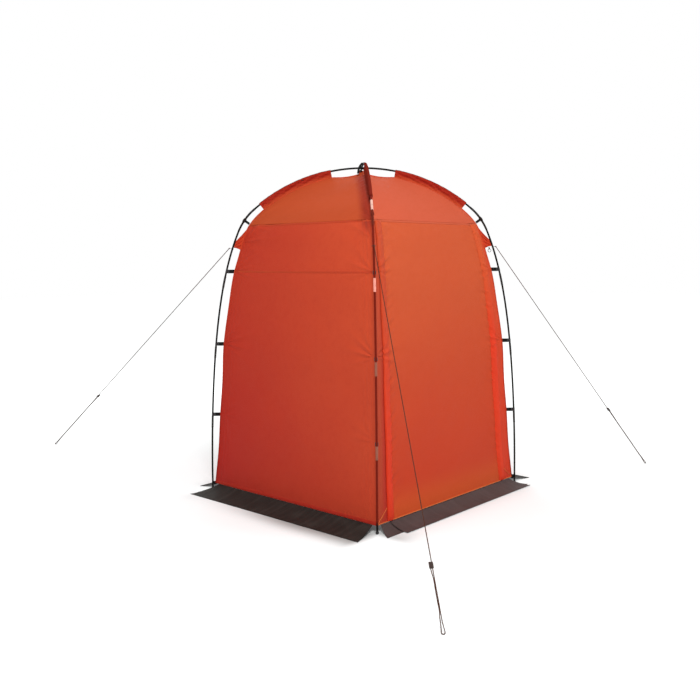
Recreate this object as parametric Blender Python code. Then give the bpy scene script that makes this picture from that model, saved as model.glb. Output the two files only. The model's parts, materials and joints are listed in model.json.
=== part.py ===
"""A square utility tent, pitched: two pole arches cross over a hung fabric hut with one door.

Metres, +Z up. The origin lies on the ground under the crossing of the arches, and the door wall
faces -Y. Left and right are those of someone who stands outside and looks at the door.
Each arch stands in a vertical plane through two opposite corners. A point in that plane is given
by its reach, the level distance from the tent's upright middle line, and by its height.
"""

import math

import bmesh
import bpy
import numpy as np

# Ground plan and heights of the poles' centre lines
foot_half_side = 0.750
elbow_half_side = 0.570
elbow_height = 1.850
roof_rise = 0.337
crossing_rise = 0.026
leg_bow_share = 0.605
leg_bow_power = 2
leg_hook_power = 6

# Poles: tubes in sections, which meet in metal ferrules
pole_diameter = 0.011
pole_bore = 0.007
ferrule_diameter = 0.0135
ferrule_length = 0.080
ferrule_chamfer = 0.001
first_joint_height = 0.475
joint_pitch = 0.4825
elbow_arm = 0.075
shock_cord_diameter = 0.003
tube_sides = 8
leg_steps = 12
elbow_steps = 6
roof_steps = 24

# Plastic tips that the poles stand on
tip_diameter = 0.020
tip_sole_diameter = 0.014
tip_collar_height = 0.014
tip_chamfer = 0.003
tip_spigot_length = 0.030
tip_spigot_clearance = 0.0003

# Canopy: a hut of flat-woven panels that hangs inside the poles
canopy_inset = 0.054
peak_inset = 0.034
peak_reach = 0.040
peak_rows = 3
hem_height = 0.041
hem_inset = 0.0154
fabric_thickness = 0.0012
seam_gap = 0.0003
corner_relief = 0.002

# Clips along each corner, by the height of their straps
low_clip_height = 0.527
middle_clip_height = 1.0135
top_clip_height = 1.504
strap_width = 0.014
tape_width = 0.010
tape_thickness = 0.002
tape_seat = 0.001
hem_tab_height = 0.048
elbow_strap_width = 0.016

# Guy points, by how far below the elbow they lie: a gusset that reaches the pole, and its ring
gusset_top_drop = 0.060
gusset_tip_drop = 0.150
guy_drop = 0.195
gusset_foot_drop = 0.210
ring_diameter = 0.023
ring_wire = 0.003
ring_sides = 16
wire_sides = 6

# Sleeves that hold the roof poles, as shares of the reach from the middle line to the elbow
sleeve_top_share = 0.26
sleeve_end_share = 0.83
sleeve_layer_gap = 0.002
sleeve_clearance = 0.0009
sleeve_steps = 8
sleeve_round = 5
sleeve_lift = 0.0002

# Door, its zips and their sliders
jamb_foot_width = 0.105
jamb_top_width = 0.024
zip_width = 0.012
zip_thickness = 0.0022
band_width = 0.045
band_height = 0.004
band_foot = 0.006
slider_length = 0.016
slider_width = 0.010
slider_depth = 0.006
slider_rest = 0.045
pull_width = 0.007
pull_thickness = 0.0016
pull_lift = 0.0006
edge_round = 0.0010

# Skirts that lie on the ground outside the hem: wide ones at the left and right walls, and
# narrower ones at the door wall and the back wall
side_skirt_width = 0.198
end_skirt_width = 0.140
skirt_hem_end = 0.700
skirt_flare = 0.062
door_skirt_lift = 0.0019
door_skirt_left = 0.627
door_skirt_right = 0.752
corner_skirt_width = 0.108
corner_skirt_lap = 0.012
corner_skirt_flare = 0.070
skirt_fall_power = 2.2
skirt_rows = 6
skirt_columns = 8

# Tie round the crossing of the arches
tie_width = 0.022
tie_thickness = 0.0015
tie_clearance = 0.0009
tie_round = 7

# Guy lines: each runs to the ground, round its peg and back to a runner. A place is where the
# long strand meets the ground.
guy_diameter = 0.004
guy_half_gap = 0.004
guy_loop_radius = 0.008
guy_loop_near = 0.008
guy_loop_lead = 0.050
guy_straight_end = 0.015
guy_ground_gap = 0.0005
guy_end_margin = 0.010
guy_out_shares = (0, 0.05, 0.25, 0.5, 0.75, 1)
guy_turn_shares = (0, 0.25, 0.5, 0.75, 1)
guy_back_shares = (0, 0.25, 0.5, 0.75, 1)
long_span_power = 0.4
runner_length = 0.030
runner_width = 0.020
runner_depth = 0.010
runner_clearance = 0.0004
runner_edge = 0.0015
guy_points = 40
peg_places = {
    "front_left": (-1.570, -1.818),
    "front_right": (1.888, -1.212),
    "back_left": (-0.725, 2.942),
    "back_right": (1.700, 1.680),
}
runner_distances = {
    "front_left": 0.300,
    "front_right": 0.573,
    "back_left": 0.828,
    "back_right": 0.573,
}

# A cutter runs past what it cuts by this much
cut_overrun = 0.005

# Edges that bend by more than this stay sharp
sharp_angle = math.radians(35)

corners = {
    "front_left": (-1, -1),
    "front_right": (1, -1),
    "back_left": (-1, 1),
    "back_right": (1, 1),
}
walls = ("front", "right", "back", "left")

# Colour, roughness and metallic value of each finish
finishes = {
    "orange_fabric": ((0.62, 0.085, 0.028), 0.62, 0.0),
    "roof_fabric": ((0.66, 0.110, 0.055), 0.62, 0.0),
    "sleeve_fabric": ((0.50, 0.050, 0.022), 0.66, 0.0),
    "skirt_fabric": ((0.040, 0.030, 0.028), 0.70, 0.0),
    "black_webbing": ((0.015, 0.015, 0.016), 0.75, 0.0),
    "pole_fibreglass": ((0.030, 0.032, 0.034), 0.35, 0.0),
    "elbow_steel": ((0.20, 0.20, 0.21), 0.40, 1.0),
    "ring_steel": ((0.55, 0.55, 0.56), 0.30, 1.0),
    "black_plastic": ((0.02, 0.02, 0.02), 0.45, 0.0),
    "guy_cord": ((0.42, 0.20, 0.09), 0.80, 0.0),
    "shock_elastic": ((0.75, 0.73, 0.70), 0.85, 0.0),
}

root_two = math.sqrt(2)
foot_reach = foot_half_side * root_two
elbow_reach = elbow_half_side * root_two
pole_radius = pole_diameter / 2
ferrule_radius = ferrule_diameter / 2
leg_top_height = elbow_height - elbow_arm
apex_height = elbow_height + roof_rise
guy_height = elbow_height - guy_drop
hem_half_side = foot_half_side - hem_inset


def finish(name):
    """The material of one finish, made once."""
    material = bpy.data.materials.get(name)
    if material is None:
        colour, roughness, metallic = finishes[name]
        material = bpy.data.materials.new(name)
        material.use_nodes = True
        shader = material.node_tree.nodes["Principled BSDF"]
        shader.inputs["Base Color"].default_value = (*colour, 1.0)
        shader.inputs["Roughness"].default_value = roughness
        shader.inputs["Metallic"].default_value = metallic
    return material


def placed(name, built, material, origin=(0, 0, 0)):
    """An object from a bmesh in world places, with its own origin at a given point."""
    built.normal_update()
    bmesh.ops.recalc_face_normals(built, faces=built.faces)
    bmesh.ops.translate(built, verts=built.verts, vec=[-value for value in origin])
    mesh = bpy.data.meshes.new(name)
    built.to_mesh(mesh)
    built.free()
    mesh.shade_smooth()
    mesh.set_sharp_from_angle(angle=sharp_angle)
    mesh.materials.append(finish(material))
    item = bpy.data.objects.new(name, mesh)
    item.location = origin
    bpy.context.scene.collection.objects.link(item)
    return item


def loft(name, rings, material, hollow=False, origin=(0, 0, 0)):
    """A closed body through rings of equal count. A hollow one joins its last ring to its first."""
    built = bmesh.new()
    rows = [[built.verts.new(point) for point in ring] for ring in rings]
    pairs = list(zip(rows, rows[1:]))
    if hollow:
        pairs.append((rows[-1], rows[0]))
    else:
        built.faces.new(rows[0])
        built.faces.new(rows[-1])
    count = len(rows[0])
    for lower, upper in pairs:
        for here in range(count):
            there = (here + 1) % count
            built.faces.new((lower[here], lower[there], upper[there], upper[here]))
    return placed(name, built, material, origin)


def sheet(name, outer, inner, material, origin=(0, 0, 0)):
    """A closed body between two grids of points, which have equal rows and columns."""
    built = bmesh.new()
    rows, columns = outer.shape[:2]
    front = [[built.verts.new(point) for point in row] for row in outer]
    back = [[built.verts.new(point) for point in row] for row in inner]
    for row in range(rows - 1):
        for column in range(columns - 1):
            for grid in (front, back):
                built.faces.new((
                    grid[row][column],
                    grid[row][column + 1],
                    grid[row + 1][column + 1],
                    grid[row + 1][column],
                ))
    border = [(0, column) for column in range(columns)]
    border += [(row, columns - 1) for row in range(1, rows)]
    border += [(rows - 1, column) for column in range(columns - 2, -1, -1)]
    border += [(row, 0) for row in range(rows - 2, 0, -1)]
    for here, there in zip(border, border[1:] + border[:1]):
        built.faces.new((
            front[here[0]][here[1]],
            front[there[0]][there[1]],
            back[there[0]][there[1]],
            back[here[0]][here[1]],
        ))
    return placed(name, built, material, origin)


def cord(name, points, diameter, material, resolution):
    """A round cord along points, with filled ends."""
    curve = bpy.data.curves.new(name, "CURVE")
    curve.dimensions = "3D"
    curve.bevel_depth = diameter / 2
    curve.bevel_resolution = resolution
    curve.use_fill_caps = True
    spline = curve.splines.new("POLY")
    spline.points.add(len(points) - 1)
    for target, point in zip(spline.points, points):
        target.co = (*point, 1)
    curve.materials.append(finish(material))
    item = bpy.data.objects.new(name, curve)
    bpy.context.scene.collection.objects.link(item)
    return item


def block(name, centre, axes, sizes, material, rounding):
    """A block on three unit axes, with its edges rounded by a Bevel."""
    built = bmesh.new()
    bmesh.ops.create_cube(built, size=1)
    for vert in built.verts:
        place = centre + sum(axis * size * share for axis, size, share in zip(axes, sizes, vert.co))
        vert.co = place
    item = placed(name, built, material, tuple(centre))
    bevel = item.modifiers.new("edges", "BEVEL")
    bevel.width = rounding
    bevel.segments = 1
    return item


def cut(item, cutter):
    """Takes a hidden cutter out of an item."""
    cutter.hide_render = True
    cutter.display_type = "WIRE"
    boolean = item.modifiers.new(cutter.name, "BOOLEAN")
    boolean.operation = "DIFFERENCE"
    boolean.object = cutter


def unit(vector):
    return vector / np.linalg.norm(vector)


def in_plane(corner, reach, height):
    """The place of a point given by its reach and height, in the plane of a corner."""
    across, along = corners[corner]
    return np.array([across * reach / root_two, along * reach / root_two, height])


def plane_normal(corner):
    across, along = corners[corner]
    return np.array([-along, across, 0]) / root_two


def turned(points, wall):
    """Points turned about the upright middle line, from the door wall to another wall."""
    points = np.asarray(points, float)
    for _ in range(walls.index(wall)):
        points = np.stack([-points[..., 1], points[..., 0], points[..., 2]], axis=-1)
    return points


def leg_reach(height):
    """Reach of a leg's centre line: a slow bow, and a firmer hook near the elbow."""
    share = height / elbow_height
    bow = leg_bow_share * share**leg_bow_power
    hook = (1 - leg_bow_share) * share**leg_hook_power
    return foot_reach - (foot_reach - elbow_reach) * (bow + hook)


def leg_slope(height):
    """How fast a leg's reach falls as its height grows."""
    share = height / elbow_height
    bow = leg_bow_power * leg_bow_share * share ** (leg_bow_power - 1)
    hook = leg_hook_power * (1 - leg_bow_share) * share ** (leg_hook_power - 1)
    return (foot_reach - elbow_reach) * (bow + hook) / elbow_height


def leg_line():
    """The leg's centre line as it is built, in straight steps from its foot to its elbow."""
    heights = np.linspace(tip_collar_height, leg_top_height, leg_steps + 1)
    return np.array([[leg_reach(height), height] for height in heights])


def built_reach(height):
    """Reach of the leg at a height, on its straight steps."""
    line = leg_line()
    return np.interp(height, line[:, 1], line[:, 0])


def inside_leg(height, distance):
    """Reach of the line that runs inside a leg at a given distance from its centre line."""
    return built_reach(height) - distance * math.hypot(1, leg_slope(height))


def roof_circle(top):
    """Radius and centre height of the arc from elbow to elbow with its top at a given height."""
    rise = top - elbow_height
    radius = (elbow_reach**2 + rise**2) / (2 * rise)
    return radius, top - radius


def roof_point(top, angle, inset=0):
    radius, centre = roof_circle(top)
    return np.array([(radius - inset) * math.sin(angle), centre + (radius - inset) * math.cos(angle)])


def elbow_angle(top):
    return math.asin(elbow_reach / roof_circle(top)[0])


def arch_path(top):
    """Centre line of one arch, foot to foot, and where each of its five pieces starts and ends."""
    radius = roof_circle(top)[0]
    leg = leg_line()
    roof_end = elbow_angle(top) - elbow_arm / radius
    start, corner, end = leg[-1], np.array([elbow_reach, elbow_height]), roof_point(top, roof_end)
    shares = np.linspace(0, 1, elbow_steps + 1)[:, None]
    elbow = (1 - shares) ** 2 * start + 2 * shares * (1 - shares) * corner + shares**2 * end
    angles = np.linspace(roof_end, -roof_end, roof_steps + 1)
    roof = np.array([roof_point(top, angle) for angle in angles])
    other_side = np.array([-1, 1])
    path = np.concatenate([
        leg,
        elbow[1:],
        roof[1:],
        (elbow * other_side)[::-1][1:],
        (leg * other_side)[::-1][1:],
    ])
    ends = np.cumsum([0, leg_steps, elbow_steps, roof_steps, elbow_steps, leg_steps])
    return path, [slice(first, last + 1) for first, last in zip(ends, ends[1:])]


def tangents_of(path):
    steps = np.gradient(path, axis=0)
    return steps / np.linalg.norm(steps, axis=1)[:, None]


def pole_tube(name, corner, path, tangents, ferrules, material):
    """A hollow pole along a path. Each ferrule is a pair of distances from its first end."""
    path = path.copy()
    path[0] += tangents[0] * seam_gap / 2
    path[-1] -= tangents[-1] * seam_gap / 2
    lengths = np.concatenate([[0], np.cumsum(np.linalg.norm(np.diff(path, axis=0), axis=1))])
    total = lengths[-1]
    outline = []
    for length in lengths:
        held = any(start < length < end for start, end in ferrules)
        outline.append((length, ferrule_radius if held else pole_radius))
    for start, end in ferrules:
        if start > 0:
            outline.append((start, pole_radius))
        else:
            outline.remove((0, pole_radius))
            outline.append((0, ferrule_radius))
        outline.append((start + ferrule_chamfer, ferrule_radius))
        outline.append((min(end, total) - ferrule_chamfer, ferrule_radius))
        if end < total:
            outline.append((end, pole_radius))
        else:
            outline.remove((total, pole_radius))
            outline.append((total, ferrule_radius))
    inside = [(length, pole_bore / 2) for length in lengths]
    across = plane_normal(corner)
    rings = []
    for length, radius in sorted(outline) + inside[::-1]:
        centre = [np.interp(length, lengths, path[:, axis]) for axis in (0, 1)]
        way = unit(np.array([np.interp(length, lengths, tangents[:, axis]) for axis in (0, 1)]))
        outward = in_plane(corner, way[1], -way[0])
        angles = np.arange(tube_sides) * 2 * math.pi / tube_sides
        rings.append([
            in_plane(corner, *centre) + radius * (math.cos(angle) * outward + math.sin(angle) * across)
            for angle in angles
        ])
    return loft(name, rings, material, hollow=True)


def build_arch(label, corner, opposite, top):
    """One arch: two legs, two bent elbows, the roof pole and the elastic cord inside them."""
    path, pieces = arch_path(top)
    tangents = tangents_of(path)
    foot_end = path[0][1]
    joints = [first_joint_height + joint_pitch * count for count in range(3)]
    leg_ferrules = [
        (joint - ferrule_length / 2 - foot_end, joint + ferrule_length / 2 - foot_end)
        for joint in joints
    ]
    near_leg, near_elbow, roof, far_elbow, far_leg = pieces
    names = {"near": corner, "far": opposite}
    pole_tube(
        f"pole_leg_{names['near']}", corner, path[near_leg], tangents[near_leg],
        leg_ferrules, "pole_fibreglass",
    )
    leg_length = np.linalg.norm(np.diff(path[far_leg], axis=0), axis=1).sum() - seam_gap
    far_ferrules = [(leg_length - end, leg_length - start) for start, end in leg_ferrules]
    pole_tube(
        f"pole_leg_{names['far']}", corner, path[far_leg], tangents[far_leg],
        far_ferrules, "pole_fibreglass",
    )
    for place, piece in (("near", near_elbow), ("far", far_elbow)):
        pole_tube(
            f"pole_elbow_{names[place]}", corner, path[piece], tangents[piece], [], "elbow_steel"
        )
    roof_length = np.linalg.norm(np.diff(path[roof], axis=0), axis=1).sum() - seam_gap
    quarter = roof_length / 4
    roof_ferrules = [(0, ferrule_length)]
    roof_ferrules += [
        (quarter * count - ferrule_length / 2, quarter * count + ferrule_length / 2)
        for count in (1, 2, 3)
    ]
    roof_ferrules.append((roof_length - ferrule_length, roof_length))
    pole_tube(
        f"pole_roof_{label}", corner, path[roof], tangents[roof], roof_ferrules, "pole_fibreglass"
    )
    cord_end = tip_collar_height + tip_spigot_length + seam_gap
    inner = path[path[:, 1] > cord_end]
    inner = np.concatenate([[[foot_reach, cord_end]], inner, [[-foot_reach, cord_end]]])
    inner[0][0] = leg_reach(cord_end)
    inner[-1][0] = -leg_reach(cord_end)
    places = [in_plane(corner, reach, height) for reach, height in inner]
    cord(f"shock_cord_{label}", places, shock_cord_diameter, "shock_elastic", 1)


def build_foot(corner):
    """The tip under one pole: a sole, a collar and a spigot that goes up into the bore."""
    spigot_radius = pole_bore / 2 - tip_spigot_clearance
    top = tip_collar_height + tip_spigot_length
    collar_top = tip_collar_height - seam_gap / 2
    outline = [
        (tip_sole_diameter / 2, 0),
        (tip_diameter / 2, tip_chamfer),
        (tip_diameter / 2, collar_top),
        (spigot_radius, collar_top),
        (spigot_radius, top),
    ]
    middle = in_plane(corner, foot_reach, 0)
    rings = []
    for radius, height in outline:
        lean = in_plane(corner, leg_reach(height) - foot_reach, height)
        rings.append([
            middle + lean + radius * np.array([math.cos(angle), math.sin(angle), 0])
            for angle in np.arange(tube_sides) * 2 * math.pi / tube_sides
        ])
    loft(f"pole_foot_{corner}", rings, "black_plastic")


def rib_height(reach):
    """Height of the canopy's roof seam at a given reach from the middle line."""
    radius, centre = roof_circle(apex_height)
    share = min(reach / (sleeve_top_share * elbow_reach), 1)
    inset = peak_inset + (canopy_inset - peak_inset) * (1 - (1 - share) ** 2)
    return centre + math.sqrt((radius - inset) ** 2 - reach**2)


def canopy_rows():
    """The canopy's corner seam from hem to peak, as half side and height, with named rows."""
    shoulder = roof_point(apex_height, elbow_angle(apex_height), canopy_inset)
    upper_middle = (middle_clip_height + top_clip_height) / 2
    band_middle = (top_clip_height + shoulder[1]) / 2
    rows = [(hem_half_side * root_two, hem_height)]
    for height in (middle_clip_height, upper_middle, top_clip_height, band_middle):
        rows.append((inside_leg(height, canopy_inset), height))
    rows.append(tuple(shoulder))
    sleeve_end = sleeve_end_share * elbow_reach
    sleeve_top = sleeve_top_share * elbow_reach
    reaches = list(np.linspace(sleeve_end, sleeve_top, sleeve_steps + 1))
    reaches += list(np.linspace(sleeve_top, peak_reach, peak_rows + 1))[1:]
    rows += [(reach, rib_height(reach)) for reach in reaches]
    places = {"hem": 0, "middle_clip": 1, "top_clip": 3, "shoulder": 5, "sleeve_end": 6}
    places["sleeve_top"] = places["sleeve_end"] + sleeve_steps
    places["peak"] = len(rows) - 1
    rows = np.array(rows)
    rows[:, 0] /= root_two
    return rows, places


def profile_normals(rows):
    """Outward mitre at each row of the canopy: a step along it moves both sides by its length."""
    ways = np.diff(rows, axis=0)
    ways /= np.linalg.norm(ways, axis=1)[:, None]
    sides = np.stack([ways[:, 1], -ways[:, 0]], axis=1)
    before = np.concatenate([sides[:1], sides])
    after = np.concatenate([sides, sides[-1:]])
    middle = before + after
    middle /= np.linalg.norm(middle, axis=1)[:, None]
    return middle / (middle * before).sum(axis=1)[:, None]


def wall_piece(name, first, last, edges, wall, material, lifts=None, thickness=fabric_thickness,
               origin=(0, 0, 0), plain_foot=0):
    """A panel of one wall from one named row to another. Each edge gives its x from the half side.

    Where there is a plain foot, the lifts start above it and are whole after twice its height."""
    rows, places = canopy_rows()
    normals = profile_normals(rows)
    span = slice(places[first], places[last] + 1)
    rows, normals = rows[span].copy(), normals[span]
    way = unit(rows[1] - rows[0])
    rows[0] += way * seam_gap / 2
    shares = np.ones(len(rows))
    if plain_foot:
        foot_rows = [rows[0] + way * plain_foot * count for count in (1, 2)]
        rows = np.insert(rows, 1, foot_rows, axis=0)
        normals = np.insert(normals, 1, [normals[0], normals[0]], axis=0)
        shares = np.concatenate([[0, 0], shares])
    way = unit(rows[-1] - rows[-2])
    rows[-1] -= way * seam_gap / 2
    lifts = lifts or [0] * len(edges)
    outer, inner = [], []
    for (half_side, height), normal, share in zip(rows, normals, shares):
        outer_row, inner_row = [], []
        for edge, lift in zip(edges, lifts):
            above = np.array([half_side, height]) + normal * lift * share
            below = np.array([half_side, height]) - normal * thickness
            outer_row.append((edge(half_side), -above[0], above[1]))
            inner_row.append((edge(half_side), -below[0], below[1]))
        outer.append(outer_row)
        inner.append(inner_row)
    return sheet(name, turned(outer, wall), turned(inner, wall), material, origin)


def corner_edge(side):
    """Edge of a panel at the corner seam, just clear of the next wall."""
    return lambda half_side: side * (half_side - corner_relief)


def build_walls():
    whole = [corner_edge(-1), corner_edge(1)]
    for wall in ("left", "back", "right"):
        wall_piece(f"wall_{wall}", "hem", "top_clip", whole, wall, "orange_fabric")
        wall_piece(f"wall_band_{wall}", "top_clip", "shoulder", whole, wall, "orange_fabric")
    for wall in walls:
        wall_piece(f"roof_panel_{wall}", "shoulder", "peak", whole, wall, "roof_fabric")


def shoulder_row():
    rows, places = canopy_rows()
    return rows[places["shoulder"]]


def jamb_width(half_side):
    """Width of a jamb at the row with a given half side. It narrows from hem to shoulder."""
    top = shoulder_row()[0]
    share = (half_side - top) / (hem_half_side - top)
    return jamb_top_width + (jamb_foot_width - jamb_top_width) * share


def door_half_width(half_side):
    return half_side - jamb_width(half_side) - zip_width - 2 * seam_gap


def hem_point():
    """The outer edge of the door wall's hem, at the middle of the wall."""
    return (0, -hem_half_side, hem_height)


def build_door():
    """The door wall: a jamb at each corner, a zip along each jamb, and the door between them."""
    for label, side in (("left", -1), ("right", 1)):
        jamb = [
            lambda half: side * (half - corner_relief),
            lambda half: side * (half - jamb_width(half)),
        ]
        if side < 0:
            edges = jamb
        else:
            edges = jamb[::-1]
        wall_piece(f"door_jamb_{label}", "hem", "shoulder", edges, "front", "orange_fabric")
        tape = [
            lambda half: side * (half - jamb_width(half) - seam_gap),
            lambda half: side * (half - jamb_width(half) - seam_gap - zip_width),
        ]
        if side > 0:
            tape = tape[::-1]
        wall_piece(
            f"door_zip_{label}", "hem", "shoulder", tape, "front", "black_plastic",
            thickness=zip_thickness / 2, lifts=[zip_thickness / 2] * 2, plain_foot=band_foot,
        )
    half_side, height = shoulder_row()
    hinge = (0, -half_side, height)
    band_edges = [
        lambda half: -door_half_width(half),
        lambda half: -door_half_width(half) + band_width,
        lambda half: -door_half_width(half) + band_width + band_height,
        lambda half: door_half_width(half) - band_width - band_height,
        lambda half: door_half_width(half) - band_width,
        lambda half: door_half_width(half),
    ]
    lifts = [band_height, band_height, 0, 0, band_height, band_height]
    wall_piece(
        "door_panel", "hem", "shoulder", band_edges, "front", "orange_fabric", lifts, origin=hinge,
        plain_foot=band_foot,
    )


def zip_line():
    """Lowest point and direction of the left zip's straight lower stretch, on its outer face."""
    rows, places = canopy_rows()
    low, high = rows[places["hem"]], rows[places["middle_clip"]]
    inset = seam_gap + zip_width / 2
    start = np.array([-(low[0] - jamb_width(low[0]) - inset), -low[0], low[1]])
    end = np.array([-(high[0] - jamb_width(high[0]) - inset), -high[0], high[1]])
    return start, unit(end - start)


def build_sliders():
    """A slider on each zip: a body on the teeth and a flat pull that hangs from it."""
    start, way = zip_line()
    sideways = unit(np.cross(way, [0, -1, 0]))
    outward = unit(np.cross(sideways, way))
    for label, side in (("left", 1), ("right", -1)):
        mirror = np.array([side, 1, 1])
        axes = [axis * mirror for axis in (sideways, way, outward)]
        foot = (start + way * slider_rest) * mirror
        surface = zip_thickness / 2 + seam_gap
        middle = foot + axes[2] * (surface + slider_depth / 2)
        sizes = (slider_width, slider_length, slider_depth)
        item = block(f"zip_slider_{label}", middle, axes, sizes, "black_plastic", edge_round)
        slot = block(
            f"slider_slot_{label}",
            middle + axes[2] * (slider_depth / 2 - pull_lift - pull_thickness / 2 - edge_round),
            axes,
            (slider_width + cut_overrun, pull_width / 2, pull_thickness),
            "black_plastic",
            edge_round / 4,
        )
        cut(item, slot)


def skirt(name, wall, start_low, end_low, start_far, end_far, width, lift, drop_at_hem, origin):
    """A ground flap: it falls from the hem in a soft curve and lies flat at its outer edge."""
    shares = np.linspace(0, 1, skirt_rows + 1)
    top, bottom = [], []
    fall = hem_height - fabric_thickness - lift - seam_gap - drop_at_hem
    for share in shares:
        height = lift + fabric_thickness + fall * (1 - share) ** skirt_fall_power
        slope = -fall * skirt_fall_power * (1 - share) ** (skirt_fall_power - 1) / width
        away = hem_half_side + seam_gap + share * (width - seam_gap)
        drop = fabric_thickness / math.hypot(1, slope)
        low_x = start_low + (start_far - start_low) * share
        high_x = end_low + (end_far - end_low) * share
        xs = np.linspace(low_x, high_x, skirt_columns + 1)
        shift = slope * drop
        top.append([(x, -away, height) for x in xs])
        bottom.append([(x, -away - shift, height - drop) for x in xs])
    return sheet(name, turned(top, wall), turned(bottom, wall), "skirt_fabric", origin)


def build_skirts():
    far_end = skirt_hem_end + skirt_flare
    widths = {"left": side_skirt_width, "back": end_skirt_width, "right": side_skirt_width}
    for wall, width in widths.items():
        hinge = tuple(turned(hem_point(), wall))
        skirt(
            f"skirt_{wall}", wall, -skirt_hem_end, skirt_hem_end, -far_end, far_end,
            width, 0, 0, hinge,
        )
    half_width = door_half_width(hem_half_side)
    skirt(
        "door_skirt", "front", -half_width, half_width, -door_skirt_left, door_skirt_right,
        end_skirt_width, door_skirt_lift, 0, hem_point(),
    )
    inner = half_width - corner_skirt_lap
    for label, side in (("left", -1), ("right", 1)):
        ends = sorted((side * inner, side * skirt_hem_end))
        far = sorted((side * inner, side * (skirt_hem_end + corner_skirt_flare)))
        corner_skirt(f"corner_skirt_{label}", ends, far)


def corner_skirt(name, ends, far):
    """A short flap under one end of the door's flap, sewn to the jamb's hem."""
    skirt(
        name, "front", ends[0], ends[1], far[0], far[1],
        corner_skirt_width, 0, door_skirt_lift, (0, 0, 0),
    )


def build_tape(corner):
    """The tape along one corner seam, with a strap at each clip, a gusset and an elbow strap."""
    rows, places = canopy_rows()
    seam = rows[: places["shoulder"] + 1] * np.array([root_two, 1])

    def seam_reach(height):
        return np.interp(height, seam[:, 1], seam[:, 0])

    def at_pole(height):
        return inside_leg(height, pole_radius + seam_gap)

    outline = [(reach - tape_seat, height) for reach, height in seam]
    angle = elbow_angle(apex_height)
    across_roof = np.array([math.sin(angle), math.cos(angle)])
    along_roof = np.array([across_roof[1], -across_roof[0]])
    corner_point = np.array([elbow_reach, elbow_height])
    bend_gap = elbow_bend_inset() + pole_radius + seam_gap
    strap_end = corner_point - unit(elbow_bisector()) * bend_gap
    strap_side = np.array([elbow_bisector()[1], -elbow_bisector()[0]])
    half_strap = elbow_strap_width / 2
    outline.append(tuple(seam[-1] + along_roof * -half_strap))
    outline.append(tuple(strap_end - strap_side * half_strap))
    outline.append(tuple(strap_end + strap_side * half_strap))
    gusset_top, gusset_tip, gusset_foot = (
        elbow_height - drop for drop in (gusset_top_drop, gusset_tip_drop, gusset_foot_drop)
    )
    outline.append((seam_reach(gusset_top) + tape_width, gusset_top))
    outline.append((at_pole(gusset_tip), gusset_tip))
    low_tip = guy_height + ring_wire / 2 + seam_gap
    outline.append((at_pole(low_tip), low_tip))
    outline.append((seam_reach(gusset_foot) + tape_width, gusset_foot))
    for middle in (top_clip_height, middle_clip_height, low_clip_height):
        for height in (middle + strap_width / 2, middle - strap_width / 2):
            near = (seam_reach(height) + tape_width, height)
            far = (at_pole(height), height)
            outline += [near, far] if height > middle else [far, near]
    tab_top = hem_tab_height + strap_width / 2
    outline.append((seam_reach(tab_top) + tape_width, tab_top))
    outline.append((at_pole(tab_top), tab_top))
    outline.append((at_pole(hem_height), hem_height))
    half = plane_normal(corner) * tape_thickness / 2
    rings = [
        [in_plane(corner, reach, height) + half * side for reach, height in outline]
        for side in (-1, 1)
    ]
    loft(f"corner_tape_{corner}", rings, "black_webbing")


def elbow_bisector():
    """Direction from the tent's inside through an elbow, halfway between leg and roof."""
    lean = math.atan(leg_slope(leg_top_height))
    angle = elbow_angle(apex_height)
    leg_way = np.array([math.cos(lean), math.sin(lean)])
    roof_way = np.array([math.sin(angle), math.cos(angle)])
    return unit(leg_way + roof_way)


def elbow_bend_inset():
    """How far the bend's rounded middle lies inside the meeting point of leg and roof."""
    path, pieces = arch_path(apex_height)
    middle = path[pieces[1]][elbow_steps // 2]
    return np.linalg.norm(middle - np.array([elbow_reach, elbow_height]))


def ring_place(corner):
    """Middle of a guy ring, and the pole's outward direction there."""
    lean = math.atan(leg_slope(guy_height))
    outward = in_plane(corner, math.cos(lean), math.sin(lean))
    pole = in_plane(corner, built_reach(guy_height), guy_height)
    offset = ring_diameter / 2 - ring_wire / 2 - pole_radius - seam_gap
    return pole + outward * offset, outward


def build_ring(corner):
    """The steel ring round the pole that a guy line is tied to."""
    middle, outward = ring_place(corner)
    sideways = plane_normal(corner)
    rings = []
    for turn in np.arange(ring_sides) * 2 * math.pi / ring_sides:
        spoke = math.cos(turn) * outward + math.sin(turn) * sideways
        axis = np.cross(outward, sideways)
        wire = np.arange(wire_sides) * 2 * math.pi / wire_sides
        rings.append([
            middle + spoke * (ring_diameter / 2 + ring_wire / 2 * math.cos(angle))
            + axis * ring_wire / 2 * math.sin(angle)
            for angle in wire
        ])
    loft(f"guy_ring_{corner}", rings, "ring_steel", hollow=True)


def guy_frame(corner):
    """Both ends of a guy line's long strand, its direction, and the way to the other strand."""
    middle, outward = ring_place(corner)
    start = middle + outward * (ring_diameter / 2 + ring_wire / 2 + seam_gap + guy_diameter / 2)
    last = np.array([*peg_places[corner], 0])
    fall = abs(unit(last - start)[2])
    last[2] = guy_loop_radius * fall + guy_diameter / 2 + guy_ground_gap
    way = unit(last - start)
    sideways = unit(np.cross(way, [0, 0, 1]))
    return start, last, way, sideways


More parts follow.
